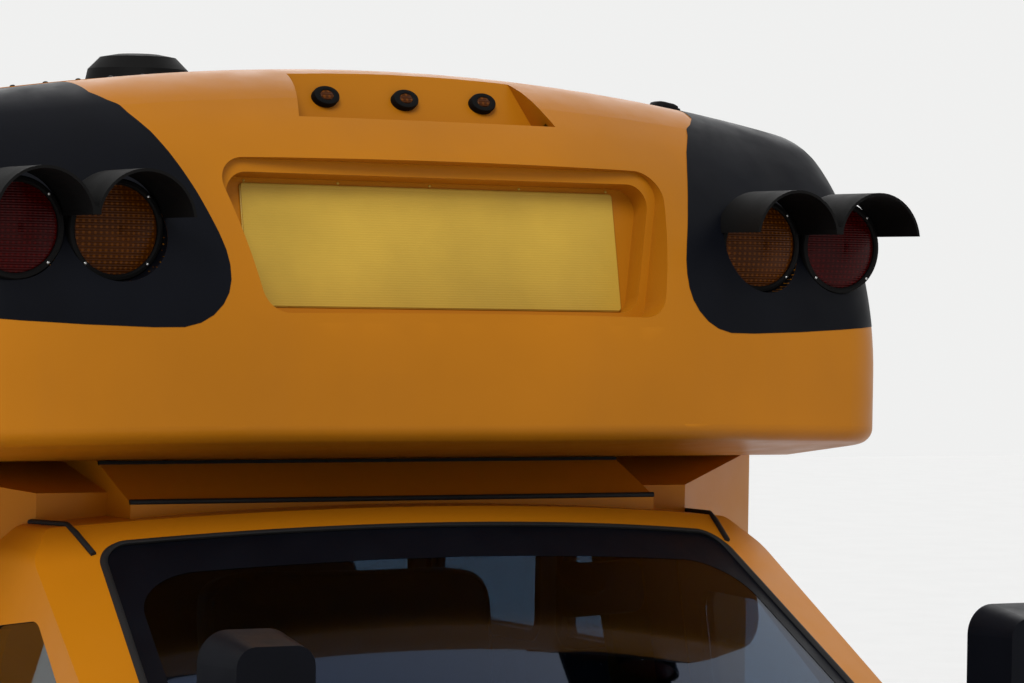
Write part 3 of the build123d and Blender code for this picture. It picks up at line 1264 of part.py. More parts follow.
# Rear emergency door and its two windows
rear_door_middle = (REAR_DOOR_BOTTOM + REAR_DOOR_TOP) / 2
REAR_DOOR_PANE = 640
REAR_DOOR_PANES = ((REAR_DOOR_TOP - 370, 520), (REAR_DOOR_BOTTOM + 360, 500))
with BuildPart() as rear_door:
    with BuildSketch(front_view(BODY_REAR + 2)):
        with Locations((0, rear_door_middle)):
            RectangleRounded(
                2 * (REAR_DOOR_HALF - DOOR_GAP), REAR_DOOR_TOP - REAR_DOOR_BOTTOM - 2 * DOOR_GAP, 54)
        for pane_z, pane_tall in REAR_DOOR_PANES:
            with Locations((0, pane_z)):
                RectangleRounded(REAR_DOOR_PANE, pane_tall, 50, mode=Mode.SUBTRACT)
    extrude(amount=WALL)
    with Locations((REAR_DOOR_HALF - 120, BODY_REAR + 16, 1440)):
        Box(160, 28, 30)
    for hinge_z in (REAR_DOOR_BOTTOM + 150, rear_door_middle, REAR_DOOR_TOP - 150):
        with Locations((-REAR_DOOR_HALF, BODY_REAR + BARREL_SEAT + BARREL_RADIUS, hinge_z)):
            Cylinder(BARREL_RADIUS, 90)
        with Locations((-REAR_DOOR_HALF + 25, BODY_REAR + 5, hinge_z)):
            Box(50, 6, 90)
rear_door.part.label = "rear_door"

with BuildPart() as rear_door_glass:
    with BuildSketch(front_view(BODY_REAR - 12)):
        for pane_z, pane_tall in REAR_DOOR_PANES:
            with Locations((0, pane_z)):
                RectangleRounded(REAR_DOOR_PANE - 2 * SEAM, pane_tall - 2 * SEAM, 50 - SEAM)
    extrude(amount=5)
rear_door_glass.part.label = "rear_door_glass"

# Stop arm: an eight-sided plate that lies along the driver's side
with BuildPart() as stop_arm:
    with BuildSketch(side_view(HALF_WIDTH + STOP_STAND)):
        with Locations((STOP_HINGE_Y + STOP_REACH, STOP_Z)):
            RegularPolygon(STOP_SIZE / 2, 8, major_radius=False, rotation=22.5)
        with Locations((STOP_HINGE_Y + 45, STOP_Z)):
            Rectangle(90, 160)
    extrude(amount=8)
    with Locations((HALF_WIDTH + STOP_STAND + 4, STOP_HINGE_Y, STOP_Z)):
        Cylinder(11, STOP_PIN)
stop_arm.part.label = "stop_arm"

with BuildPart() as stop_arm_base:
    for end in (-1, 1):
        with Locations((HALF_WIDTH + 12, STOP_HINGE_Y, STOP_Z + end * (STOP_PIN / 2 + 15.3))):
            Box(24, 60, 30)
        with Locations((HALF_WIDTH + STOP_STAND + 4, STOP_HINGE_Y, STOP_Z + end * (STOP_PIN / 2 + 15.3))):
            Cylinder(11, 30)
stop_arm_base.part.label = "stop_arm_brackets"

# Mirrors: rounded heads over the fenders and flat heads beside the pillars, each on its arms


def rod(start, finish, radius):
    """Straight round bar between two points."""
    along = Vector(*finish) - Vector(*start)
    with BuildPart() as bar:
        with BuildSketch(Plane(origin=start, z_dir=along)):
            Circle(radius)
        extrude(amount=along.length)
    return bar.part


mirror_rods = []
for side in (-1, 1):
    head = (side * CROSS_MIRROR_X, CROSS_MIRROR_Y - 10, CROSS_MIRROR_Z - 130)
    for foot_x, foot_y in ((side * 900, -2960), (side * 940, -2800)):
        mirror_rods.append(rod((foot_x, foot_y, 950), head, 10))
    post_x = side * SIDE_MIRROR_X
    mirror_rods.append(rod(
        (post_x, SIDE_MIRROR_Y + 15, SIDE_MIRROR_Z - 240), (post_x, SIDE_MIRROR_Y + 15, SIDE_MIRROR_Z + 100), 12))
    for arm_z in (SIDE_MIRROR_Z - 230, SIDE_MIRROR_Z - 160):
        mirror_rods.append(rod(
            (side * (CAB_BELT_X - 60), SIDE_MIRROR_Y + 15, arm_z), (post_x, SIDE_MIRROR_Y + 15, arm_z), 12))
with BuildPart() as mirrors:
    for bar in mirror_rods:
        add(bar)
    for side in (-1, 1):
        with BuildSketch(front_view(CROSS_MIRROR_Y + 60)):
            with Locations((side * CROSS_MIRROR_X, CROSS_MIRROR_Z)):
                RectangleRounded(200, 300, 60)
        extrude(amount=120, taper=10)
        with BuildSketch(front_view(SIDE_MIRROR_Y + 10)):
            with Locations((side * SIDE_MIRROR_X, SIDE_MIRROR_Z)):
                RectangleRounded(230, 380, 50)
        extrude(amount=90, taper=8)
    add(cab_outer, mode=Mode.SUBTRACT)
    add(nose_outer, mode=Mode.SUBTRACT)
mirrors.part.label = "mirrors"

# Roof vent and the small dome behind the lamps
with BuildPart() as roof_vents:
    with BuildSketch(side_view(VENT_X)):
        with BuildLine():
            Polyline(
                (VENT_Y, ROOF_TOP - 20), (VENT_Y + VENT_RADIUS + 12, ROOF_TOP - 20),
                (VENT_Y + VENT_RADIUS + 12, ROOF_TOP + 8), (VENT_Y + VENT_RADIUS, ROOF_TOP + 8),
                (VENT_Y + 0.92 * VENT_RADIUS, ROOF_TOP + 0.6 * VENT_TALL),
                (VENT_Y + 0.7 * VENT_RADIUS, ROOF_TOP + 0.92 * VENT_TALL),
                (VENT_Y + 0.4 * VENT_RADIUS, ROOF_TOP + VENT_TALL), (VENT_Y, ROOF_TOP + VENT_TALL),
                close=True)
        make_face()
    revolve(axis=Axis((VENT_X, VENT_Y, 0), (0, 0, 1)))
    crown_drop = POD_X ** 2 / (2 * CROWN_RADIUS)
    with BuildSketch(Plane.XY.offset(ROOF_TOP - crown_drop - 8)):
        with Locations((POD_X, POD_Y)):
            RectangleRounded(80, 110, 36)
    extrude(amount=34, taper=14)
    with BuildSketch(front_view(POD_Y - 100)):
        add(body_section(0, ROOF_RAIL))
    extrude(amount=-(BODY_REAR - POD_Y), mode=Mode.SUBTRACT)
roof_vents.part.label = "roof_vents"

# Fuel tank and exhaust below the floor
with BuildPart() as fuel_tank:
    with BuildSketch(front_view(-900)) as tank:
        with Locations((TANK_X, TANK_Z)):
            RectangleRounded(400, 220, 50)
    extrude(amount=-1250)
    for strap_y in (-700, 150):
        with BuildSketch(front_view(strap_y)):
            with Locations((TANK_X, (TANK_Z + 110 + RAIL_TOP) / 2)):
                Rectangle(300, RAIL_TOP - TANK_Z - 110)
        extrude(amount=-40)
fuel_tank.part.label = "fuel_tank"

with BuildPart() as exhaust:
    with BuildSketch(front_view(-2080)):
        with Locations((EXHAUST_X, EXHAUST_Z)):
            Circle(32)
    extrude(amount=-(REAR_AXLE_Y - 680 + 2080))
    with BuildSketch(front_view(-140)):
        with Locations((EXHAUST_X, EXHAUST_Z)):
            Ellipse(120, 80)
    extrude(amount=-620)
    for hanger_y in (-1500, 60):
        with BuildSketch(front_view(hanger_y)):
            with Locations((EXHAUST_X, (EXHAUST_Z + RAIL_TOP) / 2)):
                Rectangle(20, RAIL_TOP - EXHAUST_Z)
        extrude(amount=-20)
exhaust.part.label = "exhaust"

pieces = [
    front_cap.part, sign_panel.part, lamp_hoods.part, amber_lenses.part, red_lenses.part,
    roof_shell.part, walls[-1], walls[1], rear_wall.part, front_bulkhead.part, body_floor.part,
    rub_rails.part, window_frames.part, window_glass.part, passenger_seats.part, cab_shell.part,
    windshield.part, curb_glass.part, driver_door.part, driver_door_glass.part, roof_fairing.part,
    hood.part, front_fenders.part, grille.part, headlamps.part, bumpers.part, chassis_frame.part,
    engine_block.part, front_suspension.part, knuckles[-1], knuckles[1], rear_axle.part,
    wheel_liners.part, driver_seat.part, dashboard.part, steering_wheel.part, rear_door.part,
    rear_door_glass.part, stop_arm.part, stop_arm_base.part, mirrors.part, roof_vents.part,
    fuel_tank.part, exhaust.part,
]
pieces += [piece for group in (tyres, rims, leaves, leaf_glass) for piece in group.values()]
for piece in pieces:
    export_step(piece, "parts/" + piece.label + ".step")
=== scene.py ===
"""Looks of the small school bus: materials, lights, camera and the pieces finer than the solids."""
from math import acos, asin, copysign, cos, dist, exp, pi, radians, sin, sqrt

import bmesh
import bpy
from mathutils import Matrix, Vector
from mathutils.geometry import delaunay_2d_cdt


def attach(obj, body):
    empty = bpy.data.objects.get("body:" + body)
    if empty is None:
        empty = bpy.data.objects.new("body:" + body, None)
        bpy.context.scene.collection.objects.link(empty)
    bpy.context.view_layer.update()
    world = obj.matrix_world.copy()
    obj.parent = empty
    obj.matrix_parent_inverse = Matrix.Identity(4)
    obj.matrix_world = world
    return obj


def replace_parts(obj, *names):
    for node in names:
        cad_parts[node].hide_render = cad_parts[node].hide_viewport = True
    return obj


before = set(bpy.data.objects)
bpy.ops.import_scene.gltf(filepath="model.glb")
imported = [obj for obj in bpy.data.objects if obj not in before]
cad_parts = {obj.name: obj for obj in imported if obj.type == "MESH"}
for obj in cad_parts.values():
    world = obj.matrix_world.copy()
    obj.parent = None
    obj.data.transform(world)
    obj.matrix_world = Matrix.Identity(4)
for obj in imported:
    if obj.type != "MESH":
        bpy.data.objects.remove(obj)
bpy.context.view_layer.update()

scene = bpy.context.scene
X, Y, Z = Vector((1, 0, 0)), Vector((0, 1, 0)), Vector((0, 0, 1))
CORNERS = ((1, 1), (-1, 1), (-1, -1), (1, -1))

# Camera, matched to the photograph: place, yaw with pitch and roll in degrees, lens in mm
CAMERA_PLACE = (-3.844, -8.57, 2.411)
CAMERA_TURN = (30, -0.66, 0.9)
CAMERA_LENS = 131.84

# Outline of the roof and cap, in metres, as the solids have it
HALF_WIDTH = 1.155
ROOF_TOP = 2.902
CROWN = 5.2
SHOULDER = 0.175
REACH = HALF_WIDTH - SHOULDER
CROWN_Z = ROOF_TOP - CROWN
SHOULDER_Z = CROWN_Z + sqrt((CROWN - SHOULDER) ** 2 - REACH ** 2)
LEAN = asin(REACH / (CROWN - SHOULDER))
CROWN_ARC = CROWN * LEAN
SHOULDER_END = CROWN_ARC + SHOULDER * (pi / 2 - LEAN)
CAP_REAR_Y = -1.1
CAP_FLAT_END = -1.3159
CAP_TURN = radians(40)
# Arcs of the cap over its edge and down its face: y and z of the centre, radius
CAP_EDGE = (-1.3159, 2.602, 0.3)
CAP_FACE = (-1.0205, 2.25, 0.7595)
BAND_PROUD = 0.0022

# Warning lamps and the black paint round them
LAMP_Z = 2.536
LAMP_XS = (0.775, 0.991)
LAMP_FACE_Y = -1.658
POCKET_RADIUS = 0.1042
POCKET_FLOOR_Y = LAMP_FACE_Y + 0.059
PANEL_PROUD = 0.0009

# Windscreen: a tall cylinder of glass, leaning back
GLASS_TOP = Vector((0, -1.65, 1.914))
GLASS_RAKE = radians(32.5)
GLASS_RADIUS = 3.6
GLASS_HALF_TOP = 0.748
BORDER_DEPTH = -0.0032

# Walls, windows, doors and seats
WALL_X = 1.1555
REAR_Y = 3.38
WINDOW_Z = 1.82
WINDOW_REAR_Y = 2.96
WINDOW_PITCH = 0.7
RAIL_FACE_X = 1.1668
RIVET_PITCH = 0.115
STOP_CENTRE = Vector((0, -0.66, 1.25))
BENCH_PITCH = 0.74
PAD_POWER = 7
DRIVER_X = 0.48

# Wheels by place: y of the axle and middles of the tyres in x
AXLE_Z = 0.372
FRONT_Y = -2.58
WHEELS = {"front_left": (FRONT_Y, 0.86), "front_right": (FRONT_Y, -0.86), "rear_left": (1.46, 0.73, 0.99),
          "rear_right": (1.46, -0.73, -0.99)}
TREAD_PITCHES = 52

# Front of the bonnet
HEADLAMP_X = 0.645
HEADLAMP_Z = 0.84
BOWL_BACK_Y = -3.262
COVER_Y = -3.372


def make_camera():
    """Camera at the photograph's place, with the lens for its 1024 x 683 frame; the frame itself is not set
    here.
    """
    yaw, pitch, roll = (radians(a) for a in CAMERA_TURN)
    forward = Vector((sin(yaw) * cos(pitch), cos(yaw) * cos(pitch), sin(pitch)))
    right = Vector((cos(yaw), -sin(yaw), 0))
    up = right.cross(forward)
    turn = Matrix((cos(roll) * right + sin(roll) * up, cos(roll) * up - sin(roll) * right, -forward))
    data = bpy.data.cameras.new("photo_camera")
    data.lens = CAMERA_LENS
    camera = bpy.data.objects.new("photo_camera", data)
    camera.matrix_world = Matrix.Translation(CAMERA_PLACE) @ turn.transposed().to_4x4()
    scene.collection.objects.link(camera)
    scene.camera = camera


class Wiring:
    """Node tree of a material or a world, being wired up."""

    def __init__(self, owner):
        owner.use_nodes = True
        self.owner = owner
        self.tree = owner.node_tree

    def fill(self, made, inputs):
        """Link a node's inputs from sockets, or set them to values."""
        for key, value in inputs.items():
            if isinstance(value, bpy.types.NodeSocket):
                self.tree.links.new(value, made.inputs[key])
            else:
                made.inputs[key].default_value = value

    def node(self, kind, output, inputs=None, **options):
        """One output of a new node that has its options set and its inputs filled."""
        made = self.tree.nodes.new("ShaderNode" + kind)
        for key, value in options.items():
            setattr(made, key, value)
        self.fill(made, inputs or {})
        return made.outputs[output]


class Look(Wiring):
    """Material whose patterns lie in object coordinates."""

    def __init__(self, name):
        super().__init__(bpy.data.materials.new(name))
        self.place = self.node("TexCoord", "Object")

    def finish(self, **inputs):
        """Fill the shader's inputs, named with underscores, and give the material."""
        shader = self.tree.nodes["Principled BSDF"]
        self.fill(shader, {key.replace("_", " "): value for key, value in inputs.items()})
        return self.owner

    def scaled(self, stretch):
        """Object coordinates, stretched along the axes."""
        return self.node("Mapping", "Vector", {"Scale": stretch, "Vector": self.place})

    def noise(self, scale, detail=4, stretch=(1, 1, 1)):
        place = self.scaled(stretch)
        return self.node("TexNoise", "Fac", {"Scale": scale, "Detail": detail, "Vector": place})

    def wave(self, axis, scale):
        return self.node("TexWave", "Fac", {"Scale": scale, "Vector": self.place}, bands_direction=axis)

    def between(self, source, low, high, to_low=0, to_high=1):
        """A factor mapped from one range to another."""
        ends = {"From Min": low, "From Max": high, "To Min": to_low, "To Max": to_high}
        return self.node("MapRange", "Result", {"Value": source, **ends})

    def mix(self, amount, first, second):
        """Colour between two, each a tuple or a socket."""
        first, second = ((*c, 1) if isinstance(c, tuple) else c for c in (first, second))
        return self.node("Mix", 2, {"Factor": amount, 6: first, 7: second}, data_type="RGBA")

    def relief(self, height, strength, distance=0.001, **before):
        inputs = {"Height": height, "Strength": strength, "Distance": distance, **before}
        return self.node("Bump", "Normal", inputs)


def surface(name, colour, rough, shade, scale, grain, bump, specular=0.5, spread=0.08, metal=0, dust=0,
            dust_top=1.2, streaks=0, ribs=None, coat=0):
    """Painted, moulded or rubber surface with mottled colour, fine relief and road dust."""
    look = Look(name)
    dark = tuple(c * shade for c in colour)
    tint = look.mix(look.between(look.noise(scale), 0.35, 0.65), dark, colour)
    if streaks:
        runs = look.between(look.noise(7, 3, (1, 1, 0.12)), 0.5, 0.8, 0, streaks)
        tint = look.mix(runs, tint, tuple(0.45 * c + 0.02 for c in colour))
    if dust:
        height = look.node("SeparateXYZ", "Z", {0: look.place})
        low = look.between(height, 0.15, dust_top, dust, 0)
        patches = look.between(look.noise(9, 6), 0.3, 0.7, 0.35, 1)
        both = look.node("Math", 0, {0: low, 1: patches}, operation="MULTIPLY")
        tint = look.mix(both, tint, (0.3, 0.26, 0.21))
    normal = look.relief(look.noise(grain, 2), bump)
    if ribs:
        axis, pitch, strength, distance = ribs
        normal = look.relief(look.wave(axis, pitch), strength, distance, Normal=normal)
    gloss = look.between(look.noise(11), 0.3, 0.7, rough - spread, rough + spread)
    return look.finish(Base_Color=tint, Roughness=gloss, Normal=normal, Metallic=metal,
                       Specular_IOR_Level=specular, Coat_Weight=0.03 if coat else 0, Coat_Roughness=coat)


def clear(name, colour, dust, gloss=(1, 1, 1), ior=1.45):
    """Tinted glass with a faint film of dust that dulls it in patches."""
    look = Look(name)
    film = look.noise(5, 6)
    tint = look.mix(look.between(film, 0.45, 0.8, 0, dust), colour, (0.5, 0.5, 0.48))
    return look.finish(Base_Color=tint, Roughness=look.between(film, 0.4, 0.8, 0.01, 0.03),
                       Normal=look.relief(look.noise(1.6, 1), 0.02, 0.002), Transmission_Weight=1,
                       IOR=ior, Specular_Tint=(*gloss, 1))


def lens(name, deep, bright, dots, ribs, glow):
    """Moulded lamp lens: fine ribs over a field of small light points."""
    look = Look(name)
    cells = {"Scale": dots, "Randomness": 0, "Vector": look.scaled((1, 0.0001, 1))}
    spots = look.between(look.node("TexVoronoi", "Distance", cells), 0.16, 0.32, glow, 0)
    tint = look.mix(look.between(look.noise(14), 0.3, 0.7), tuple(0.7 * c for c in deep), deep)
    gloss = look.between(look.noise(30), 0.3, 0.7, 0.12, 0.24)
    return look.finish(Base_Color=look.mix(spots, tint, bright), Roughness=gloss,
                       Normal=look.relief(look.wave("Z", ribs), 0.6, 0.0012), Coat_Weight=0.02,
                       Coat_Roughness=0.1, Specular_IOR_Level=0.08)


def hide(name, colour, grain, rough):
    """Coated seat fabric, grained like leather and worn lighter in patches."""
    look = Look(name)
    cells = {"Scale": grain, "Vector": look.place}
    pebbles = look.node("TexVoronoi", "Distance", cells, feature="DISTANCE_TO_EDGE")
    worn = look.between(look.noise(3.5, 5), 0.42, 0.72, 0, 0.55)
    tint = look.mix(worn, colour, tuple(1.5 * c + 0.015 for c in colour))
    gloss = look.between(look.noise(8), 0.3, 0.7, rough - 0.1, rough + 0.12)
    return look.finish(Base_Color=tint, Roughness=gloss, Normal=look.relief(pebbles, 0.35, 0.0006))


# Columns: name, colour, roughness, colour left in patches, scales of patches and grain, relief, specular
# Body paint and cap gelcoat are school bus yellow, darkened and made more orange by painted shade
PAINT = surface("bus_paint", (0.5, 0.176, 0.005), 0.36, 0.9, 1.3, 50, 0.008, 0.12, spread=0.05, dust=0.22,
                dust_top=0.95, coat=0.14)
CAP_PAINT = surface("cap_gelcoat", (0.47, 0.166, 0.005), 0.4, 0.84, 1.3, 40, 0.01, 0.12, spread=0.06,
                    streaks=0.08, coat=0.2)
WHITE = surface("roof_paint", (0.62, 0.62, 0.6), 0.42, 0.86, 1.2, 120, 0.03, streaks=0.3)
PANEL = surface("lamp_panel_black", (0.003, 0.0036, 0.0062), 0.46, 0.7, 4, 240, 0.05, 0.06, spread=0.1)
BLACK = surface("black_trim", (0.009, 0.009, 0.01), 0.46, 0.75, 6, 500, 0.1, 0.2, spread=0.1, dust=0.14,
                dust_top=0.8)
MATT = surface("visor_black", (0.0048, 0.0046, 0.0046), 0.62, 0.7, 5, 380, 0.15, 0.07)
SEAL = surface("rubber_seal", (0.008, 0.008, 0.0085), 0.68, 0.8, 9, 700, 0.12, 0.25)
TYRE = surface("tyre_rubber", (0.016, 0.016, 0.017), 0.8, 0.7, 7, 260, 0.22, 0.3, dust=0.3, dust_top=0.8)
STEEL = surface("wheel_paint", (0.46, 0.47, 0.48), 0.36, 0.86, 8, 260, 0.04, metal=0.15, dust=0.35,
                dust_top=0.8)
BARE = surface("plated_steel", (0.5, 0.5, 0.49), 0.3, 0.86, 12, 500, 0.05, spread=0.12, metal=0.95)
FRAME = surface("frame_steel", (0.02, 0.019, 0.018), 0.62, 0.6, 5, 160, 0.2, 0.35, dust=0.35)
RUSTY = surface("exhaust_steel", (0.17, 0.11, 0.08), 0.62, 0.45, 6, 200, 0.25, metal=0.55)
ALLOY = surface("tank_alloy", (0.38, 0.39, 0.4), 0.4, 0.86, 6, 260, 0.05, metal=0.75, dust=0.3)
WINDOW_BLACK = surface("window_frame_black", (0.01, 0.01, 0.011), 0.44, 0.8, 9, 400, 0.06, 0.35, metal=0.15)
CABIN = surface("cabin_grey", (0.26, 0.27, 0.27), 0.58, 0.86, 4, 260, 0.06)
LINING = surface("cab_lining", (0.03, 0.032, 0.036), 0.75, 0.86, 6, 500, 0.2, 0.2)
DASH = surface("dash_plastic", (0.03, 0.031, 0.034), 0.62, 0.86, 8, 700, 0.25)
WHEEL_GRIP = surface("wheel_grip", (0.016, 0.016, 0.017), 0.55, 0.86, 14, 900, 0.25)
SIGN = surface("sign_yellow", (0.56, 0.36, 0.045), 0.4, 0.8, 3.2, 420, 0.03, 0.25,
               ribs=("Z", 62, 0.16, 0.0008))
STOP_RED = surface("stop_red", (0.42, 0.012, 0.01), 0.34, 0.9, 3, 600, 0.03)
BORDER = surface("border_white", (0.68, 0.68, 0.66), 0.36, 0.93, 5, 600, 0.03)
FLOORING = surface("floor_rubber", (0.03, 0.03, 0.031), 0.72, 0.86, 5, 300, 0.15, ribs=("X", 16, 0.5, 0.002))
RADIATOR = surface("radiator_core", (0.02, 0.02, 0.022), 0.55, 0.86, 9, 300, 0.1, metal=0.4,
                   ribs=("X", 90, 0.8, 0.003))
MIRROR = surface("mirror_glass", (0.8, 0.82, 0.83), 0.05, 0.86, 2.2, 40, 0.01, spread=0.02, metal=1)
CHROME = surface("bowl_chrome", (0.78, 0.79, 0.8), 0.1, 0.86, 20, 80, 0.03, spread=0.04, metal=1)
GROUND = surface("studio_floor", (0.85, 0.85, 0.84), 0.85, 0.98, 2.2, 300, 0.01)
GLASS = clear("window_glass_tint", (0.2, 0.25, 0.26), 0.12)
# Windscreen: tinted glass, whose navy colour and blue reflection tint are a painted reflection of sky
SCREEN = clear("windscreen_tint", (0.1, 0.16, 0.26), 0.02, (0.22, 0.42, 0.95), 1.42)
COVER = clear("lamp_cover", (0.9, 0.92, 0.93), 0.04)
# Columns: name, colour, colour of the light points, their scale, scale of the ribs, strength of the points
# The amber and red lens colours are darkened with painted shade, as if they sat in shadow under their hoods
AMBER_WITH_PAINTED_SHADE = lens("amber_lens", (0.064, 0.016, 0.0006), (0.3, 0.085, 0.004), 85, 60, 0.3)
RED_WITH_PAINTED_SHADE = lens("red_lens", (0.04, 0.0012, 0.0012), (0.16, 0.004, 0.004), 85, 60, 0.25)
REFLECTOR = lens("reflector_amber", (0.62, 0.16, 0.006), (0.9, 0.45, 0.08), 160, 160, 0.5)
RED_REFLECTOR = lens("reflector_red", (0.36, 0.01, 0.008), (0.8, 0.05, 0.03), 160, 160, 0.5)
SEAT = hide("seat_vinyl", (0.022, 0.048, 0.068), 420, 0.45)
DRIVER_HIDE = hide("driver_seat_cloth", (0.03, 0.032, 0.036), 650, 0.72)

# Words in the solids' names by material. The first match counts, the others are painted.
DRESSED = (
    (TYRE, "tyre_"), (STEEL, "rim_"), (GLASS, "glass"), (CAP_PAINT, "front_cap"), (SIGN, "sign_panel"),
    (MATT, "lamp_hoods roof_vents"), (AMBER_WITH_PAINTED_SHADE, "amber_lenses"), (RED_WITH_PAINTED_SHADE, "red_lenses"), (WHITE, "roof_shell"),
    (FLOORING, "body_floor"), (WINDOW_BLACK, "window_frames"), (BLACK, "rub_rails grille bumpers brackets"),
    (SEAT, "passenger_seats"), (SCREEN, "windshield"), (COVER, "headlamps"), (SEAL, "wheel_liners"),
    (DRIVER_HIDE, "driver_seat"), (DASH, "dashboard"), (PANEL, "mirrors"), (ALLOY, "fuel_tank"),
    (RUSTY, "exhaust"), (STOP_RED, "stop_arm"), (WHEEL_GRIP, "steering_wheel"),
    (FRAME, "chassis_frame engine_block front_suspension rear_axle knuckle"),
)
# Shells with a lining: names, material and the point its lined faces look at
LINED = (
    ("side_wall_right side_wall_left roof_shell rear_wall rear_door entry_leaf_front entry_leaf_rear", CABIN,
     lambda c: (0, min(2.8, max(-0.9, c.y)), 1.55)),
    ("front_bulkhead", CABIN, lambda c: (c.x, 1, c.z)),
    ("cab_shell", LINING, lambda c: (0, min(-1.3, max(-2.2, c.y)), 1.35)),
    ("driver_door", LINING, lambda c: (0, -1.65, 1.3)),
    ("roof_fairing", LINING, lambda c: (0, min(-1.1, c.y + 0.05), 1.6)),
)


def dress_solids():
    """Give every carried-over solid its material, and line the shells inside."""
    for name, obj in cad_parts.items():
        found = [mat for mat, words in DRESSED if any(word in name for word in words.split())]
        obj.data.materials.clear()
        obj.data.materials.append((found + [PAINT])[0])
    for names, mat, middle in LINED:
        for name in names.split():
            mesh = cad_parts[name].data
            mesh.materials.append(mat)
            for face in mesh.polygons:
                look = Vector(middle(face.center)) - face.center
                if face.normal.dot(look.normalized()) > 0.3:
                    face.material_index = 1


def basis(axis):
    """Two unit vectors across an axis, and the axis."""
    axis = Vector(axis).normalized()
    first = axis.cross(Z if abs(axis.z) < 0.9 else X).normalized()
    return first, axis.cross(first).normalized(), axis


def circle(count, start=0):
    """Cosine and sine of angles evenly round a circle."""
    angles = [start + 2 * pi * i / count for i in range(count)]
    return [(cos(a), sin(a)) for a in angles]


def unit_ring(rx, ry, steps, along=1):
    """Points round a square from -1 to 1 whose corners are rounded, with along parts on each side."""
    points = []
    for turn, (sx, sy) in enumerate(CORNERS):
        for i in range(steps + 1):
            a = pi / 2 * (turn + i / steps)
            points.append((sx * (1 - rx) + rx * cos(a), sy * (1 - ry) + ry * sin(a)))
        x, y = points[-1]
        for left in [1 - 2 * i / along for i in range(1, along)]:
            points.append((x, y * left) if turn % 2 else (x * left, y))
    return points


def rounded(middle, across, up, width, height, corner, steps=5):
    """Points of a rounded rectangle in the plane of two unit vectors."""
    middle, across, up = Vector(middle), Vector(across) * width / 2, Vector(up) * height / 2
    ring = unit_ring(2 * corner / width, 2 * corner / height, steps)
    return [middle + p * across + q * up for p, q in ring]


def leaning(degrees):
    """Unit vectors up and out of a forward face that leans back."""
    a = radians(degrees)
    return Vector((0, sin(a), cos(a))), Vector((0, -cos(a), sin(a)))


def ovals(middle, across, up, out, sizes):
    """Ellipses on an axis, each by its half sizes and its distance out."""
    return [[middle + d * out + a * c * across + b * s * up for c, s in circle(40)] for a, b, d in sizes]


def placed(name, bm, mats, body):
    """Object of a finished mesh that rides on a body."""
    mesh = bpy.data.meshes.new(name)
    bm.to_mesh(mesh)
    bm.free()
    for mat in mats:
        mesh.materials.append(mat)
    mesh.shade_smooth()
    obj = bpy.data.objects.new(name, mesh)
    scene.collection.objects.link(obj)
    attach(obj, body)
    return obj


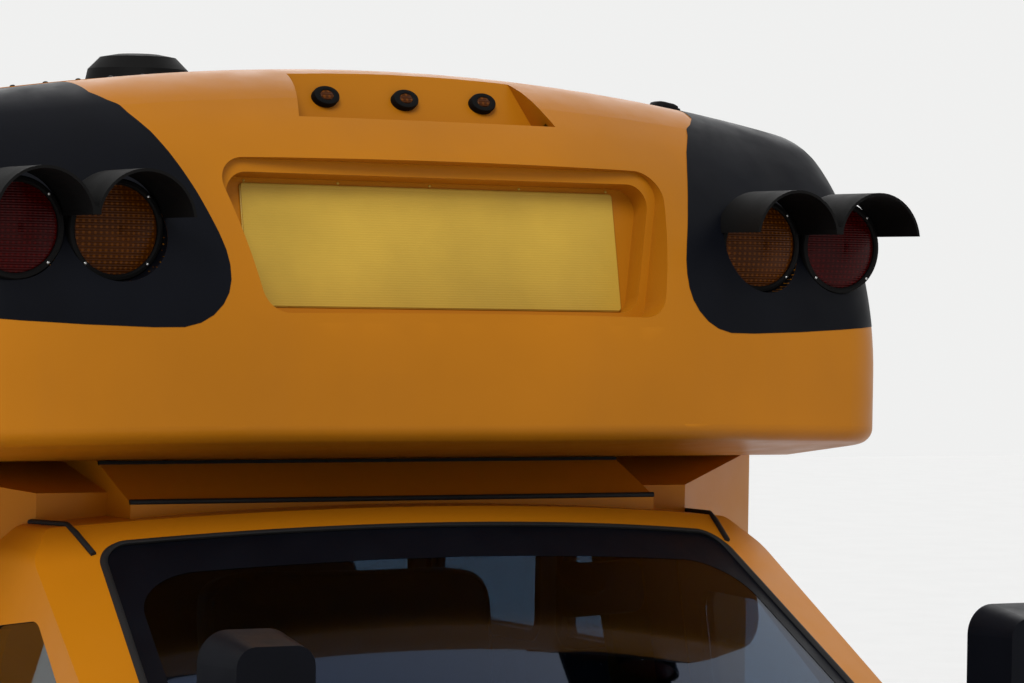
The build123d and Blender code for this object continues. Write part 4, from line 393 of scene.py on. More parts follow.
class Form:
    """One mesh of lathed, swept, plated and rounded shapes."""

    def __init__(self):
        self.bm = bmesh.new()

    def cap(self, ring, mat=0):
        self.bm.faces.new(ring).material_index = mat

    def skin(self, rows, mat=0, closed=True, wrap=False):
        """Faces between rows of points. Closed joins a row's ends, wrap the last row to the first."""
        grid = [[self.bm.verts.new(p) for p in row] for row in rows]
        for i in range(len(grid) if wrap else len(grid) - 1):
            below, above = grid[i], grid[(i + 1) % len(grid)]
            for j in range(len(below) if closed else len(below) - 1):
                k = (j + 1) % len(below)
                self.cap((below[j], below[k], above[k], above[j]), mat)
        return grid

    def lathe(self, centre, axis, profile, sides=32, mat=0):
        """Turned shape: profile of (radius, height along the axis), in millimetres."""
        first, second, along = basis(axis)
        self.skin([[Vector(centre) + (height * along + max(radius, 0.01) * (c * first + s * second)) / 1000
                    for c, s in circle(sides)] for radius, height in profile], mat)

    def tube(self, path, radius, sides=8, mat=0, closed=False, flat=1):
        """Swept round or flattened bar along a list of points."""
        path = [Vector(p) for p in path]
        before, after = (path[-1:], path[:1]) if closed else (path[:1], path[-1:])
        rows = []
        for behind, point, ahead in zip(before + path, path, path[1:] + after):
            first, second, _ = basis(ahead - behind)
            rows.append([point + radius * c * first + flat * radius * s * second for c, s in circle(sides)])
        grid = self.skin(rows, mat, wrap=closed)
        if not closed:
            self.cap(grid[0], mat)
            self.cap(grid[-1][::-1], mat)

    def bead(self, middle, across, up, width, height, corner, radius, mat=0, sides=6, steps=6):
        """Round bead along a rounded rectangle."""
        self.tube(rounded(middle, across, up, width, height, corner, steps), radius, sides, mat, closed=True)

    def plate(self, outline, depth, mat=0, edge=0):
        """Solid plate from an outline, pushed out by a vector, with its far rim eased."""
        depth = Vector(depth)
        along = depth.normalized()
        outline = [Vector(p) for p in outline]
        middle = sum(outline, Vector()) / len(outline)
        rows = [outline]
        for inward, below in ((0, 1), (0.3, 0.3), (1, 0)) if edge else ((0, 0),):
            ring = []
            for p in outline:
                pull = middle - p
                pull -= pull.dot(along) * along
                ring.append(p + (1 - below * edge / depth.length) * depth + inward * edge * pull.normalized())
            rows.append(ring)
        grid = self.skin(rows, mat)
        self.cap(grid[0][::-1], mat)
        self.cap(grid[-1], mat)

    def slab(self, middle, across, up, width, height, corner, depth, mat=0, edge=0):
        """Plate with the outline of a rounded rectangle."""
        self.plate(rounded(middle, across, up, width, height, corner), depth, mat, edge)

    def block(self, middle, size, mat=0, edge=0.004):
        """Box with eased edges."""
        verts = bmesh.ops.create_cube(self.bm, size=1)["verts"]
        for v in verts:
            v.co = Vector(middle) + v.co * Vector(size)
            for face in v.link_faces:
                face.material_index = mat
        edges = list(dict.fromkeys(e for v in verts for e in v.link_edges))
        bmesh.ops.bevel(self.bm, geom=edges, offset=min(edge, 0.45 * min(size)), segments=2, profile=0.6,
                        affect="EDGES", material=mat)

    def dome(self, centre, axis, radius, height, mat=0, sides=8):
        """Small domed head, such as a rivet or screw, in millimetres."""
        self.lathe(centre, axis, [(radius, -0.5), (radius, 0.15 * height), (0.8 * radius, 0.62 * height),
                                  (0.42 * radius, 0.92 * height), (0, height)], sides, mat)

    def hoop(self, start, end, foot, steps, heads, rows, head, mat, sides):
        """Raised band over the roof between two places in y, down to foot, with rows of domed heads."""
        reach = SHOULDER_END + SHOULDER_Z - foot
        band = []
        for i in range(steps + 1):
            x, z, nx, nz = section(-reach + 2 * reach * i / steps)
            top, high = x + BAND_PROUD * nx, z + BAND_PROUD * nz
            band.append([(x, start, z), (top, start + 0.002, high), (top, end - 0.002, high), (x, end, z)])
        self.skin(band, closed=False)
        for i in range(heads):
            x, z, nx, nz = section(-reach + 0.03 + (2 * reach - 0.06) * i / (heads - 1))
            for y in rows:
                self.dome((x + BAND_PROUD * nx, y, z + BAND_PROUD * nz), (nx, 0, nz), *head, mat, sides)

    def done(self, name, mats, body="body", angle=40, weld=True):
        """Finish the mesh as an object on a body, with sharp edges above an angle."""
        if weld:
            bmesh.ops.remove_doubles(self.bm, verts=self.bm.verts, dist=2e-6)
        bmesh.ops.recalc_face_normals(self.bm, faces=self.bm.faces)
        obj = placed(name, self.bm, mats, body)
        obj.data.set_sharp_from_angle(angle=radians(angle))
        return obj


def section(s):
    """Roof section at arc length s from its middle: x, z and the normal's two parts."""
    side = 1 if s >= 0 else -1
    s = abs(s)
    if s <= CROWN_ARC:
        a = s / CROWN
        return side * CROWN * sin(a), CROWN_Z + CROWN * cos(a), side * sin(a), cos(a)
    if s <= SHOULDER_END:
        a = LEAN + (s - CROWN_ARC) / SHOULDER
        return side * (REACH + SHOULDER * sin(a)), SHOULDER_Z + SHOULDER * cos(a), side * sin(a), cos(a)
    return side * HALF_WIDTH, SHOULDER_Z - (s - SHOULDER_END), side, 0


def section_at(x):
    """Arc length of the roof section at x."""
    if abs(x) <= CROWN * sin(LEAN):
        return copysign(CROWN * asin(abs(x) / CROWN), x)
    a = asin(min(1, (abs(x) - REACH) / SHOULDER))
    return copysign(CROWN_ARC + SHOULDER * (a - LEAN), x)


def cap_point(s, v, lift=0):
    """Point of the cap: s along the section, v metres behind the flat's end if under 0, else 0.7 x angle."""
    x, z, nx, nz = section(s)
    if v <= 0:
        return Vector((x + lift * nx, CAP_FLAT_END - v, z + lift * nz))
    a = v / 0.7
    cy, cz, radius = CAP_EDGE if a < CAP_TURN else CAP_FACE
    reach = radius - (ROOF_TOP - z) + lift * nz
    return Vector((x + lift * nx, cy - reach * sin(a), cz + reach * cos(a)))


def cap_place(x, z):
    """Parameters s and v of the cap's face at x and z."""
    s = section_at(x)
    drop = ROOF_TOP - section(s)[1]
    c = (z - CAP_FACE[1]) / (CAP_FACE[2] - drop)
    if c > cos(CAP_TURN):
        c = min(1, (z - CAP_EDGE[1]) / (CAP_EDGE[2] - drop))
    return s, 0.7 * acos(c)


def inside(point, loop):
    """Whether a 2-D point is inside a closed outline."""
    x, y = point
    crossed = [(y0 > y) != (y1 > y) and x < (x1 - x0) * (y - y0) / (y1 - y0) + x0
               for (x0, y0), (x1, y1) in zip(loop, loop[1:] + loop[:1])]
    return sum(crossed) % 2 == 1


def filled(form, outline, holes, step, lay):
    """Triangulated outline with holes, laid on a surface by a function."""
    def on_patch(p):
        return inside(p, outline) and not any(inside(p, hole) for hole in holes)

    points, edges = [], []
    for loop in [outline] + holes:
        start = len(points)
        points += [Vector(p) for p in loop]
        edges += [(start + i, start + (i + 1) % len(loop)) for i in range(len(loop))]
    border = [tuple(p) for p in points]
    lows, highs = ([pick(p[k] for p in outline) for k in (0, 1)] for pick in (min, max))
    nx, ny = (int((highs[k] - lows[k]) / step) + 1 for k in (0, 1))
    for i in range(nx):
        for j in range(ny):
            p = (lows[0] + (i + 0.5) * step, lows[1] + (j + 0.5) * step)
            if min(dist(p, b) for b in border) > 0.45 * step and on_patch(p):
                points.append(Vector(p))
    verts, _, faces, _, _, _ = delaunay_2d_cdt(points, edges, [], 0, 1e-6)
    made = [form.bm.verts.new(lay(*p)) for p in verts]
    for face in faces:
        if on_patch([sum(verts[i][k] for i in face) / len(face) for k in (0, 1)]):
            form.cap([made[i] for i in face])


def spaced(points, gap):
    """A chain without its last point, with points added at most a gap apart."""
    result = []
    for a, b in zip(points, points[1:]):
        count = max(1, int(dist(a, b) / gap))
        result += [tuple(a[k] + (b[k] - a[k]) * i / count for k in (0, 1)) for i in range(count)]
    return result


def pocket_edge(lamp_x, c, s):
    """Place on the cap at the edge of a lamp pocket, which ends where the cap falls away."""
    reach = POCKET_RADIUS
    while reach > 0.02:
        place = cap_place(lamp_x + reach * c, LAMP_Z + reach * s)
        if cap_point(*place).y < POCKET_FLOOR_Y - 0.0005:
            break
        reach -= 0.001
    return place


def make_lamp_panels():
    """Black paint round the warning lamps, over the cap's shoulders."""
    edge = [(0.738, 2.822), (0.712, 2.806), (0.682, 2.78), (0.65, 2.74), (0.628, 2.7), (0.61, 2.661),
            (0.592, 2.618), (0.577, 2.577), (0.562, 2.535), (0.552, 2.5), (0.548, 2.47), (0.549, 2.44),
            (0.556, 2.414), (0.57, 2.39), (0.592, 2.368), (0.62, 2.352), (0.655, 2.343), (0.72, 2.342),
            (0.857, 2.346), (0.98, 2.352), (1.05, 2.356), (1.11, 2.359), (1.1549, 2.361)]
    rear = CAP_FLAT_END - CAP_REAR_Y
    chain = [(section_at(x), v) for x, v in ((0.8, rear), (0.778, -0.09), (0.758, -0.015))]
    chain += [cap_place(x, z) for x, z in edge]
    low = chain[-1][1]
    chain[-1] = (SHOULDER_END, low)
    outline = spaced(chain + [(SHOULDER_END, rear), chain[0]], 0.012)
    holes = [[pocket_edge(x, c, s) for c, s in circle(48)] for x in LAMP_XS]
    for side, name in ((1, "left"), (-1, "right")):
        form = Form()
        filled(form, outline, holes, 0.02, lambda s, v, k=side: cap_point(k * s, v, PANEL_PROUD))
        wall = [cap_point(side * SHOULDER_END, rear + (low - rear) * i / 60, PANEL_PROUD) for i in range(61)]
        wall += [Vector((wall[-1].x, -1.3, 2.364)), Vector((wall[-1].x, CAP_REAR_Y, 2.366))]
        form.cap([form.bm.verts.new(p) for p in wall])
        for lamp_x in LAMP_XS:
            rows = [[], []]
            for c, s in circle(48):
                x, z = lamp_x + 0.1039 * c, LAMP_Z + 0.1039 * s
                face = cap_point(*cap_place(x, z), PANEL_PROUD)
                rows[0].append((side * x, POCKET_FLOOR_Y, z))
                rows[1].append((side * x, min(face.y, POCKET_FLOOR_Y - 0.001), z))
            form.skin(rows)
        form.done("lamp_panel_" + name, [PANEL], angle=60)


def make_cap_trim():
    """Rear flange of the cap, and the sign's seams and screws."""
    form = Form()
    form.hoop(-1.094, -1.062, 2.255, 160, 43, (-1.078,), (6.2, 3.5), 1, 10)
    form.done("cap_flange", [CAP_PAINT, BLACK])
    form = Form()
    up, out = leaning(11)
    middle = Vector((0, -1.575, 2.513)) + 0.0041 * out
    for x in (-0.253, 0.024, 0.162):
        seam = ((-0.0007, -0.1275), (0.0007, -0.1275), (0.0007, 0.1275), (-0.0007, 0.1275))
        form.plate([middle + (x + a) * X + b * up for a, b in seam], 0.0003 * out)
    form.bead(middle - 0.0015 * out, X, up, 0.901, 0.258, 0.007, 0.0022, 1, steps=5)
    for x in (-0.44, -0.22, 0, 0.22, 0.44):
        for z in (-0.1365, 0.1365):
            form.dome(middle - 0.0035 * out + x * X + z * up, out, 3.2, 2, 1)
    form.done("sign_seams", [BLACK, SIGN])


def glass_point(u, v, lift=0):
    """Point of the windscreen's outer face."""
    c, s = cos(GLASS_RAKE), sin(GLASS_RAKE)
    k = sqrt(GLASS_RADIUS ** 2 - u ** 2)
    sink = GLASS_RADIUS - k
    return (GLASS_TOP + u * X + sink * Vector((0, s, -c)) + v * Vector((0, c, s))
            + lift * Vector((u / GLASS_RADIUS, -s * k / GLASS_RADIUS, c * k / GLASS_RADIUS)))


def glass_foot(u):
    """Place v of the glass's lower edge at u."""
    return -1.1989 + 0.135 * (u / 0.9) ** 2


def screen_loop(top, side, base, corner, lift):
    """Closed ring on the windscreen, set in from its top, sides and base, with rounded corners."""
    ring = []
    for p, q in unit_ring(corner / 0.82, corner / 0.6, 12, 22):
        u = 0.8 * p
        for _ in range(12):
            high = 0.028 + 0.058 * (u / GLASS_HALF_TOP) ** 2 - top
            low = glass_foot(u) + base
            v = low + (high - low) * (q + 1) / 2
            u = p * (GLASS_HALF_TOP + 0.152 * (0.086 - v) / 1.1499 - side)
        ring.append(glass_point(u, v, lift))
    return ring


def make_windscreen_trim():
    """Black border and seal of the glass, and the mirror inside on its arm."""
    form = Form()
    sets = ((0.004, 0.003, 0.004, 0.062), (0.055, 0.024, 0.05, 0.085), (0.11, 0.046, 0.1, 0.15))
    form.skin([screen_loop(*inset, BORDER_DEPTH) for inset in sets])
    form.tube(screen_loop(-0.001, -0.001, -0.001, 0.065, -0.001), 0.0085, 8, 1, closed=True, flat=0.7)
    form.done("windscreen_border", [PANEL, SEAL], angle=50)
    form = Form()
    inward = Vector((0, sin(GLASS_RAKE), -cos(GLASS_RAKE)))
    foot = [glass_point(0.27 + 0.055 * c, -0.14 + 0.055 * s, -0.012) for c, s in circle(28)]
    form.plate(foot, 0.012 * inward, 0, 0.003)
    hang = Vector((0.36, -1.668, 1.785))
    form.tube([foot[21].lerp(foot[7], 0.5) + 0.01 * inward, (0.33, -1.668, 1.835), hang], 0.009, 8, 1)
    across = Vector((0.94, 0.34, 0)).normalized()
    up = Vector((-0.02, 0.2, 0.98)).normalized()
    out = across.cross(up).normalized()
    form.slab(hang, across, up, 0.27, 0.115, 0.035, 0.026 * out, 1, 0.01)
    form.slab(hang - 0.001 * out, across, up, 0.255, 0.1, 0.03, -0.0025 * out, 2)
    form.done("interior_mirror", [PANEL, BLACK, MIRROR])


def cast_path(node, origins, direction, proud):
    """Points just proud of a solid, where rays first meet it."""
    path = []
    for origin in origins:
        hit, place, normal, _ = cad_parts[node].ray_cast(Vector(origin), Vector(direction))
        if hit:
            path.append(place + proud * normal)
    return path


def make_seams():
    """Black seals on the fairing, along the cab roof and down one pillar, and one under the cap that is
    partly a painted shadow gap.
    """
    form = Form()
    # The bar under the cap is a seal and also a painted shadow of the gap between cap and fairing
    for y, z, radius, sides in ((-1.2835, 2.049, 0.0052, 6), (-1.447, 1.9755, 0.0062, 8)):
        form.tube([(-0.64 + 1.28 * i / 24, y, z) for i in range(25)], radius, sides)
    for side in (-1, 1):
        gutter = [(side * (0.768 + 0.05 * min(1, i / 9)), -1.556 + 0.46 * i / 14, 2.6) for i in range(15)]
        form.tube(cast_path("cab_shell", gutter, -Z, 0.003), 0.0065)
    pillar = cast_path("cab_shell", [(-1.4, -1.255, 1.905 - 0.8 * i / 11) for i in range(12)], X, 0.0005)
    form.tube([p for p in pillar if p.x < -0.7], 0.004, 6)
    form.done("body_seals_and_painted_shadow_gap", [SEAL], angle=50)


def make_wipers():
    """Two wipers parked along the windscreen's foot."""
    form = Form()
    for foot, tip in ((-0.56, 0.02), (0.1, 0.7)):
        span = tip - foot
        a = glass_point(foot, glass_foot(foot) - 0.012, 0.016)
        b = glass_point(foot + 0.55 * span, glass_foot(foot + 0.5 * span) + 0.055, 0.03)
        spindle = [(20, -12), (22, 0), (19, 10), (10, 16), (0, 17)]
        form.lathe(a, (0, -0.54, 0.84), spindle, 20)
        arm = [a + 0.008 * Z, a.lerp(b, 0.35) + Vector((0, -0.004, 0.006)), b]
        form.tube(arm, 0.0065, 8, 0, flat=0.6)
        start = foot + 0.08 * span
        us = [start + (tip - start) * i / 12 for i in range(13)]
        for lift, radius, sides, flat in ((0.011, 0.007, 6, 0.55), (0.0035, 0.0035, 4, 1)):
            blade = [glass_point(u, glass_foot(u) + 0.045 + 0.015 * i / 12, lift) for i, u in enumerate(us)]
            form.tube(blade, radius, sides, 1, flat=flat)
    form.done("wipers", [BLACK, SEAL])


def make_markers():
    """Oval housings round the marker lamps, and the pod on the roof."""
    rim = [(0.0312, 0.0232, 0), (0.0312, 0.0232, 0.0115), (0.0292, 0.0212, 0.0158)]
    form = Form()
    up, out = leaning(25)
    for x in (-0.192, 0, 0.192):
        middle = Vector((x, -1.426, 2.832))
        bowl = [(0.02, 0.015, 0.017), (0.0165, 0.0125, 0.016), (0.0155, 0.0115, 0.0148)]
        form.skin(ovals(middle, X, up, out, rim + bowl))
        turns = [k / 6 * pi / 2 for k in range(6)]
        bulge = [(0.0158 * cos(f), 0.0118 * cos(f), 0.015 + 0.003 * sin(f)) for f in turns]
        form.cap(form.skin(ovals(middle, X, up, out, bulge), 1)[-1], 1)
    for side in (-1, 1):
        middle = Vector((side * 1.113, -1.545, 2.245))
        bowl = [(0.024, 0.017, 0.0165), (0.0225, 0.0155, 0.0142)]
        form.skin(ovals(middle, Y, Z, side * X, rim + bowl))
    form.done("marker_housings", [MATT, AMBER_WITH_PAINTED_SHADE])
    form = Form()
    x, z, nx, nz = section(section_at(0.85))
    form.slab((x - 0.004 * nx, -1.125, z - 0.004 * nz), (nz, 0, -nx), Y, 0.064, 0.062, 0.02,
              (0.047 * nx, 0, 0.047 * nz), 0, 0.012)
    form.done("roof_pod", [MATT], angle=60)


def make_lamp_rings():
    """Retaining rings of the warning lamps, with their screws."""
    form = Form()
    ring = [(103.5, -10), (103.5, 3), (101, 6.5), (94.5, 7.5), (90.5, 4.5), (90, 0)]
    for side in (-1, 1):
        for x in LAMP_XS:
            form.lathe((side * x, LAMP_FACE_Y, LAMP_Z), -Y, ring, 64)
            for c, s in circle(4, pi / 4):
                spot = (side * x + 0.0965 * c, LAMP_FACE_Y - 0.007, LAMP_Z + 0.0965 * s)
                form.dome(spot, -Y, 3.5, 2, 1)
        for x, z, r in ((0.7, 2.42, 90), (0.9, 2.42, 90), (0.99, 0.9, 80), (0.99, 1.08, 80)):
            rim = [(r + 12, 0), (r + 12, 4), (r + 8, 9), (r + 1, 10), (r - 1, 6)]
            form.lathe((side * x, REAR_Y, z), Y, rim, 48)
    form.done("lamp_rings", [MATT, BARE])


def make_tyres():
    """Tyres with ribs, tread grooves, shoulder slots and ringed sidewalls."""
    # Half of the section, in millimetres: distance from the tyre's middle and radius
    half = [(0, 371.8), (18, 371.6), (18.5, 362.5), (26.5, 362), (27, 371.2), (50, 370.2), (50.5, 360.5),
            (58.5, 360), (59, 369.4), (78, 367.6), (90, 365), (96.5, 359), (101, 348), (105, 335),
            (107.5, 321), (109, 319), (109, 316), (108.8, 314), (110.8, 296), (111, 278), (109.5, 260),
            (107.5, 256), (106.8, 248), (102, 233), (98, 224), (98.5, 218), (94, 210), (86, 206.2)]
    loop = [(x / 1000, r / 1000) for x, r in [(-x, r) for x, r in half[:0:-1]] + half]
    for place, (axle_y, *middles) in WHEELS.items():
        form = Form()
        for middle in middles:
            rows = []
            for i in range(TREAD_PITCHES):
                for part in (0, 0.1, 0.42, 0.5, 0.9):
                    a = 2 * pi * (i + part) / TREAD_PITCHES
                    row = []
                    for x, r in loop:
                        if part == 0 and 0.06 < abs(x) < 0.1:
                            r -= 0.0075
                        elif part in (0.42, 0.5) and abs(x) < 0.017:
                            r -= 0.004
                        turn = a + 0.3 * abs(x) if abs(x) < 0.1 else a + 0.03
                        row.append((middle + x, axle_y + r * sin(turn), AXLE_Z + r * cos(turn)))
                    rows.append(row)
            form.skin(rows, wrap=True)
        obj = form.done("tread_" + place, [TYRE], "wheel_" + place, angle=32, weld=False)
        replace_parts(obj, "tyre_" + place)


def make_hub(place, plane, tall):
    """Nuts, hub cap and valve of a wheel whose face is plane out from the tyre's middle."""
    form = Form()
    axle_y, *_, x = WHEELS[place]
    out = copysign(1, x) * X
    centre = Vector((x, axle_y, AXLE_Z))
    face = centre + plane * out
    for c, s in circle(8, pi / 8):
        spot = face + 0.0625 * (s * Y + c * Z)
        form.lathe(spot, out, [(11.5, 0), (11.5, 3), (9.5, 4), (9.5, 18), (7, 21), (0, 21)], 6)
        form.lathe(spot, out, [(4.5, 20), (4.5, 30), (0, 31)], 10)
    form.lathe(face, out, [(50, 0), (50, 4), (44, 8), (41, 30), (39, tall - 12), (32, tall - 3), (18, tall),
                           (0, tall + 1)], 40, 1)
    a = radians(200)
    root = centre + 0.075 * out + 0.178 * (sin(a) * Y + cos(a) * Z)
    form.tube([root, root + 0.018 * out, root + 0.032 * out], 0.0045, 8, 2)
    form.done("hub_" + place, [BARE, STEEL, SEAL], "wheel_" + place)


def make_rivets():
    """Rivets of the rub rails, joint strips of the roof, and drip rails."""
    form = Form()
    for side, start in ((-1, -0.15), (1, -0.96)):
        for z in (0.705, 0.735, 1.065, 1.095, 1.405, 1.435):
            for n in range(int((3.28 - start) / RIVET_PITCH) + 1):
                y = start + RIVET_PITCH * n
                if z > 0.9 or not 0.93 < y < 1.99:
                    form.dome((side * RAIL_FACE_X, y, z), side * X, 4.5, 3)
    form.done("rail_rivets", [BLACK])
    form = Form()
    for y in (-0.34, 0.36, 1.06, 1.76, 2.46, 3.16):
        form.hoop(y - 0.028, y + 0.028, 2.262, 120, 38, (y - 0.016, y + 0.016), (4.2, 2.5), 0, 8)
    form.done("roof_joint_strips", [WHITE])
    form = Form()
    drip = ((1.1545, 2.238), (1.164, 2.232), (1.166, 2.24), (1.164, 2.25), (1.157, 2.252), (1.1545, 2.262))
    for side in (-1, 1):
        form.skin([[(side * x, y, z) for x, z in drip] for y in (-1.04, 3.33)], closed=False)
    form.done("drip_rails", [PAINT])


def make_side_details():
    """Window beads and latches, reflectors, and the fuel flap."""
    form = Form()
    for side, count in ((1, 6), (-1, 5)):
        for n in range(count):
            y = WINDOW_REAR_Y - WINDOW_PITCH * n
            form.bead((side * WALL_X, y, WINDOW_Z), side * Y, Z, 0.632, 0.632, 0.062, 0.006)
            for z in (1.965, 1.677):
                form.bead((side * 1.14, y, z), side * Y, Z, 0.556, 0.262, 0.03, 0.004)
            for latch in (y - 0.17, y + 0.17):
                form.block((side * 1.137, latch, 1.845), (0.012, 0.04, 0.014), 1, 0.003)
        form.bead((side * 0.8, REAR_Y + 0.0015, WINDOW_Z), side * X, Z, 0.432, 0.572, 0.05, 0.007)
    form.done("window_beads", [SEAL, BARE])
    form = Form()
    disc = [(40, 0), (40, 4), (36, 7), (0, 8)]
    for side, front_y in ((-1, 0.12), (1, -0.1)):
        form.lathe((side * 1.155, front_y, 0.6), side * X, disc)
        form.lathe((side * 1.155, 3.24, 0.6), side * X, disc, mat=1)
        form.lathe((side * 0.6, REAR_Y, 0.72), Y, disc, mat=1)
        form.slab((side * 1.1552, 1.1, 2.205), side * Y, Z, 0.09, 0.028, 0.013, side * 0.012 * X, 0, 0.005)
    form.done("reflectors", [REFLECTOR, RED_REFLECTOR])
    form = Form()
    form.slab((1.1552, -0.3, 0.9), Y, Z, 0.2, 0.2, 0.03, 0.006 * X, 0, 0.003)
    form.bead((1.1556, -0.3, 0.9), Y, Z, 0.212, 0.212, 0.034, 0.003, 1, steps=5)
    form.tube([(1.163, -0.405, 0.85), (1.163, -0.405, 0.95)], 0.006, 10, 2)
    form.lathe((1.161, -0.225, 0.9), X, [(13, 0), (13, 3), (10, 5), (0, 5.5)], 20, 2)
    form.done("fuel_flap", [PAINT, SEAL, BARE])


def make_doors():
    """Handles, beads and edges of the swinging doors."""
    for name, y, edge in (("front", -0.801, -0.625), ("rear", -0.439, -0.615)):
        form = Form()
        for z, tall in ((1.64, 0.84), (0.81, 0.51)):
            form.bead((-WALL_X, y, z), -Y, Z, 0.262, tall, 0.044, 0.006)
            form.bead((-1.1195, y, z), -Y, Z, 0.262, tall, 0.044, 0.005)
        form.block((-1.141, edge, 1.305), (0.031, 0.012, 1.61), 0, 0.003)
        if name == "front":
            form.block((-1.1565, y + 0.164, 1.175), (0.005, 0.028, 0.07), 1, 0.002)
        form.done("entry_trim_" + name, [SEAL, BARE], "entry_leaf_" + name)
    form = Form()
    for z, tall in ((1.83, 0.53), (1.13, 0.51)):
        form.bead((0, 3.383, z), X, Z, 0.65, tall, 0.055, 0.006)
    form.tube([(0.3, 3.409, 1.44), (0.3, 3.425, 1.44), (0.312, 3.432, 1.44), (0.428, 3.432, 1.44),
               (0.44, 3.425, 1.44), (0.44, 3.409, 1.44)], 0.007, 10, 1)
    form.done("rear_door_trim", [SEAL, BARE], "rear_door")


def make_stop_arm_trim():
    """White border and lamps on both faces of the stop arm."""
    form = Form()
    for x, out in ((1.189, 1), (1.181, -1)):
        rows = []
        for flat_half, lift in ((0.217, 0), (0.217, 0.0008), (0.201, 0.0008), (0.201, 0)):
            reach = flat_half / cos(pi / 8)
            flat = STOP_CENTRE + (x + out * lift) * X
            rows.append([flat + reach * (c * Y + s * Z) for c, s in circle(8, pi / 8)])
        form.skin(rows)
        for dz in (-0.155, 0.155):
            place = STOP_CENTRE + x * X + dz * Z
            form.lathe(place, out * X, [(34, 0), (34, 3), (31, 5.2)], 32, 1)
            form.lathe(place, out * X, [(30.5, 2), (29.5, 5.8), (18, 6.4), (0, 6.6)], 32, 2)
    form.done("stop_arm_border", [BORDER, MATT, RED_WITH_PAINTED_SHADE], "stop_arm", angle=30)


def make_mirror_glasses():
    """Reflecting faces of the four mirrors."""
    form = Form()
    for side in (-1, 1):
        form.slab((side * 1.17, -2.2302, 1.48), X, Z, 0.206, 0.356, 0.042, 0.0016 * Y)
        form.bead((side * 1.17, -2.23, 1.48), X, Z, 0.216, 0.366, 0.046, 0.0045, 1, 8, 5)
        rows = []
        for k in range(9):
            f = k / 8 * pi / 2
            rows.append(rounded((side * 0.86, -2.46 + 0.022 * sin(f), 1.655), X, Z, 0.004 + 0.184 * cos(f),
                                0.104 + 0.18 * cos(f), 0.001 + 0.055 * cos(f)))
        form.cap(form.skin(rows)[-1])
    form.done("mirror_glasses", [MIRROR, BLACK], angle=50)


def to_round(*parts):
    """Factor that moves a point onto a rounded block."""
    return sum(abs(p) ** PAD_POWER for p in parts) ** (-1 / PAD_POWER)


def drawn_in(place, along, across, pull):
    """A pad's place on one axis, drawn in between the corners."""
    return place - copysign(pull, along) * (1 - min(1, across ** 2)) * (abs(along) > 0.9)


def cushion(name, node, mat, lay, size, crown, channels=(), welt=True, pull=0.01):
    """Crowned pad with drawn-in sides, seams and a welt."""
    half = Vector(size) / 2
    bm = bmesh.new()
    bmesh.ops.create_cube(bm, size=2)
    bmesh.ops.subdivide_edges(bm, edges=bm.edges[:], cuts=15, use_grid_fill=True)
    for v in bm.verts:
        q = v.co * to_round(*v.co)
        x = drawn_in(half.x * q.x, q.x, q.y, pull)
        y = drawn_in(half.y * q.y, q.y, q.x, pull)
        z = half.z * q.z - crown
        if q.z > 0.3:
            z += crown * (1 - min(1, q.x ** 2)) * (1 - min(1, q.y ** 2))
            z -= sum(0.006 * exp(-((x - place * half.x) / 0.008) ** 2) for place in channels)
        if q.z < -0.5:
            z = -half.z
        v.co = lay @ Vector((x, y, z))
    obj = placed(name, bm, [mat], "body")
    mod = obj.modifiers.new("round", "SUBSURF")
    mod.levels = 1
    mod.render_levels = 1
    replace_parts(obj, node)
    if welt:
        form = Form()
        ring = []
        for c, s in circle(96):
            k = to_round(c, s)
            x, y = c * k, s * k
            ring.append(lay @ Vector((drawn_in(half.x * x * 0.965, x, y, pull),
                                      drawn_in(half.y * y * 0.955, y, x, pull), half.z - crown - 0.004)))
        form.tube(ring, 0.0042, 6, closed=True)
        form.done(name + "_welt", [mat], angle=60)


def tilted(x, y, z, degrees):
    """Matrix that leans a pad and puts it in its place."""
    return Matrix.Translation((x, y, z)) @ Matrix.Rotation(radians(degrees), 4, "X")


def make_benches():
    """Nine passenger benches: two pads and tube legs each."""
    legs = Form()
    places = [(row, side) for row in range(5) for side in (1, -1) if side > 0 or row > 0]
    for number, (row, side) in enumerate(places, 1):
        x, y = side * 0.65, -0.25 + BENCH_PITCH * row
        cushion("bench_seat_%d" % number, "passenger_seats", SEAT, Matrix.Translation((x, y + 0.025, 1.13)),
                (0.85, 0.44, 0.145), 0.014)
        cushion("bench_back_%d" % number, "passenger_seats", SEAT, tilted(x, y + 0.262, 1.43, 81),
                (0.85, 0.56, 0.088), 0.012, (-0.33, 0.33))
        for px in (x - 0.36, x + 0.36):
            front, rear = y - 0.12, y + 0.215
            feet = [(fy, 0.857 if abs(px) > 0.55 and 0.92 < fy < 2 else 0.752) for fy in (front, rear)]
            legs.tube([(px, front, feet[0][1]), (px, front, 1.02), (px, y - 0.1, 1.055),
                       (px, y + 0.18, 1.055), (px, rear, 1.02), (px, rear, feet[1][1])], 0.0145, 10)
            for fy, foot in feet:
                legs.block((px, fy, foot + 0.0015), (0.06, 0.06, 0.007), 0, 0.002)
    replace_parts(legs.done("bench_legs", [BARE]), "passenger_seats")


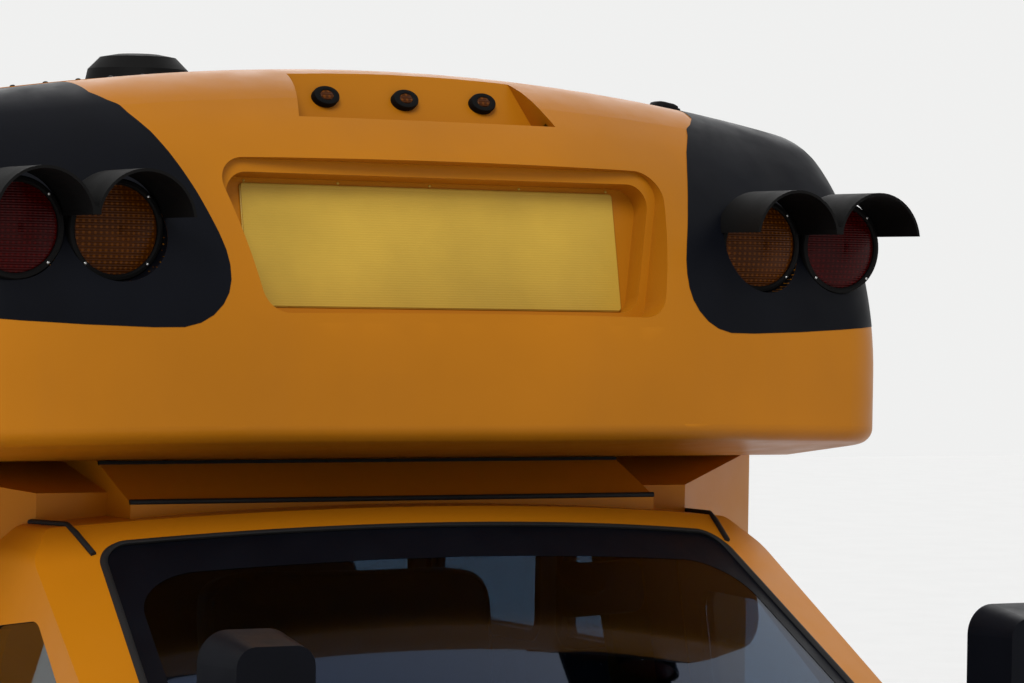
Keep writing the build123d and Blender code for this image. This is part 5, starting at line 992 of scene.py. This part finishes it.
def make_driver_place():
    """Driver's seat on its base, instruments, and the wheel's pad."""
    pad = ("driver_seat", DRIVER_HIDE)
    cushion("driver_cushion", *pad, tilted(DRIVER_X, -1.6, 1.085, -2), (0.49, 0.4, 0.13), 0.016, (-0.6, 0.6))
    cushion("driver_backrest", *pad, tilted(DRIVER_X, -1.372, 1.3, 78.5), (0.48, 0.44, 0.1), 0.016,
            (-0.6, 0.6))
    cushion("driver_headrest", *pad, tilted(DRIVER_X, -1.318, 1.57, 78.5), (0.26, 0.11, 0.08), 0.012,
            welt=False)
    form = Form()
    form.block((DRIVER_X, -1.59, 0.871), (0.28, 0.3, 0.238), 0, 0.02)
    form.block((DRIVER_X, -1.585, 1.005), (0.4, 0.33, 0.03), 0, 0.008)
    for px in (0.43, 0.53):
        form.tube([(px, -1.335, 1.49), (px, -1.322, 1.55)], 0.006, 8, 1)
    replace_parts(form.done("driver_seat_base", [DASH, BARE]), "driver_seat")
    form = Form()
    form.slab((DRIVER_X, -2.3, 1.155), X, (0, 0.34, 0.94), 0.38, 0.09, 0.04, (0, -0.07, 0.02), 0, 0.012)
    for x, r in ((0.4, 36), (0.5, 30), (0.575, 22)):
        dial = [(r, 0), (r, 6), (r - 3, 7), (r - 4, 3), (0, 3)]
        form.lathe((x, -2.299, 1.157), (0, 0.94, -0.34), dial, 28, 1)
        form.tube([(x, -2.2945, 1.157), (x - 0.0007 * r, -2.29, 1.157 + 0.00035 * r)], 0.0012, 4, 2)
    for x in (-0.55, -0.1, 0.1, 0.85):
        form.slab((x, -2.165, 1.1), X, (0, -0.18, 0.98), 0.13, 0.055, 0.012, 0.006 * Y, 1, 0.002)
    form.done("instruments", [DASH, BLACK, BORDER])
    form = Form()
    up, out = leaning(-40)
    form.slab(Vector((DRIVER_X, -1.96, 1.2)) - 0.0125 * out, X, up, 0.15, 0.11, 0.04, -0.028 * out, 0, 0.01)
    form.done("steering_pad", [DASH], "steering_wheel")


def make_nose():
    """Headlamp bowls behind covers, and the blank number plates."""
    form = Form()
    for side in (-1, 1):
        shape = (side * X, Z, 0.284, 0.212, 0.028)
        back, front = (rounded((side * HEADLAMP_X, y, HEADLAMP_Z), *shape) for y in (BOWL_BACK_Y, COVER_Y))
        form.skin([front, back])
        form.cap([form.bm.verts.new(p) for p in back])
        for x, r, inner in ((0.585, 72, 3), (0.722, 52, 2)):
            bowl = [(r, 82), (r * 0.92, 50), (r * 0.72, 24), (r * 0.4, 8), (0, 3)]
            rim = [(r + 8, 80), (r + 6, 87), (r, 82)]
            bulb = [(11, 4), (11, 40), (6, 50), (0, 51)]
            for profile, sides, mat in ((bowl, 40, 1), (rim, 40, 0), (bulb, 16, inner)):
                form.lathe((side * x, BOWL_BACK_Y - 0.006, HEADLAMP_Z), -Y, profile, sides, mat)
        form.plate(front, -0.006 * Y, 4, 0.002)
    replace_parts(form.done("headlamp_units", [BLACK, CHROME, REFLECTOR, BORDER, COVER]), "headlamps")
    form = Form()
    form.slab((0, -3.4505, 0.505), X, Z, 0.305, 0.115, 0.01, -0.003 * Y, 0, 0.001)
    form.slab((-0.72, 3.3815, 1.32), -X, Z, 0.305, 0.155, 0.01, 0.003 * Y, 0, 0.001)
    form.block((-0.72, 3.389, 1.413), (0.08, 0.018, 0.022), 1, 0.004)
    form.done("blank_plates", [BORDER, BLACK])


def make_under_bonnet():
    """Radiator core, and inner aprons of the front wheel arches."""
    form = Form()
    form.block((0, -3.305, 0.8415), (0.83, 0.026, 0.213))
    for x in (-0.41, 0.41):
        form.block((x, -3.304, 0.84), (0.04, 0.032, 0.23), 1, 0.006)
    form.done("radiator", [RADIATOR, BLACK])
    form = Form()
    angles = [radians(26 + 128 * i / 24) for i in range(25)]
    for side in (-1, 1):
        form.plate([(side * 0.496, FRONT_Y + 0.445 * cos(a), AXLE_Z + 0.462 * sin(a)) for a in angles],
                   -side * 0.004 * X)
    form.done("wheel_arch_aprons", [SEAL])


def make_mud_flaps():
    """Rubber flaps behind the rear wheels."""
    form = Form()
    for side in (-1, 1):
        rows = []
        for i in range(9):
            y, z = 1.952 + 0.012 * sin(pi * i / 8), 0.47 - 0.27 * i / 8
            front = [(side * x, y, z) for x in (0.62, 0.74, 0.86, 0.98, 1.1)]
            rows.append(front + [(x, y + 0.008, z) for x, _, _ in reversed(front)])
        grid = form.skin(rows)
        form.cap(grid[0])
        form.cap(grid[-1])
    form.done("mud_flaps", [SEAL])


def make_studio():
    """Pale floor, even sky, a plain backdrop where the sky is seen, and two soft suns."""
    data = bpy.data.meshes.new("floor")
    data.from_pydata([(40 * sx, 40 * sy, 0) for sx, sy in CORNERS], [], [(0, 1, 2, 3)])
    floor = bpy.data.objects.new("floor", data)
    scene.collection.objects.link(floor)
    data.materials.append(GROUND)
    sky = Wiring(bpy.data.worlds.new("studio"))
    even = sky.tree.nodes["Background"]
    sky.fill(even, {0: (0.89, 0.89, 0.9, 1), 1: 0.5})
    plain = sky.node("Background", 0, {0: (0.87, 0.872, 0.866, 1), 1: 1})
    seen = sky.node("LightPath", "Is Camera Ray")
    for kind in ("Is Glossy Ray", "Is Transmission Ray"):
        seen = sky.node("Math", 0, {0: seen, 1: sky.node("LightPath", kind)}, operation="MAXIMUM")
    both = sky.node("MixShader", 0, {0: seen, 1: even.outputs[0], 2: plain})
    sky.fill(sky.tree.nodes["World Output"], {0: both})
    scene.world = sky.owner
    for name, energy, soft, tilt, turn in (("key", 1.9, 0.5, 48, -38), ("back", 0.7, 0.8, 55, 150)):
        light = bpy.data.lights.new(name, "SUN")
        light.energy = energy
        light.angle = soft
        sun = bpy.data.objects.new(name, light)
        sun.rotation_euler = (radians(tilt), 0, radians(turn))
        scene.collection.objects.link(sun)
    scene.view_settings.view_transform = "Standard"


make_camera()
dress_solids()
make_lamp_panels()
make_cap_trim()
make_windscreen_trim()
make_seams()
make_wipers()
make_markers()
make_lamp_rings()
make_tyres()
for label in ("left", "right"):
    make_hub("front_" + label, 0.025, 85)
    make_hub("rear_" + label, -0.013, 60)
make_rivets()
make_side_details()
make_doors()
make_stop_arm_trim()
make_mirror_glasses()
make_benches()
make_driver_place()
make_nose()
make_under_bonnet()
make_mud_flaps()
make_studio()
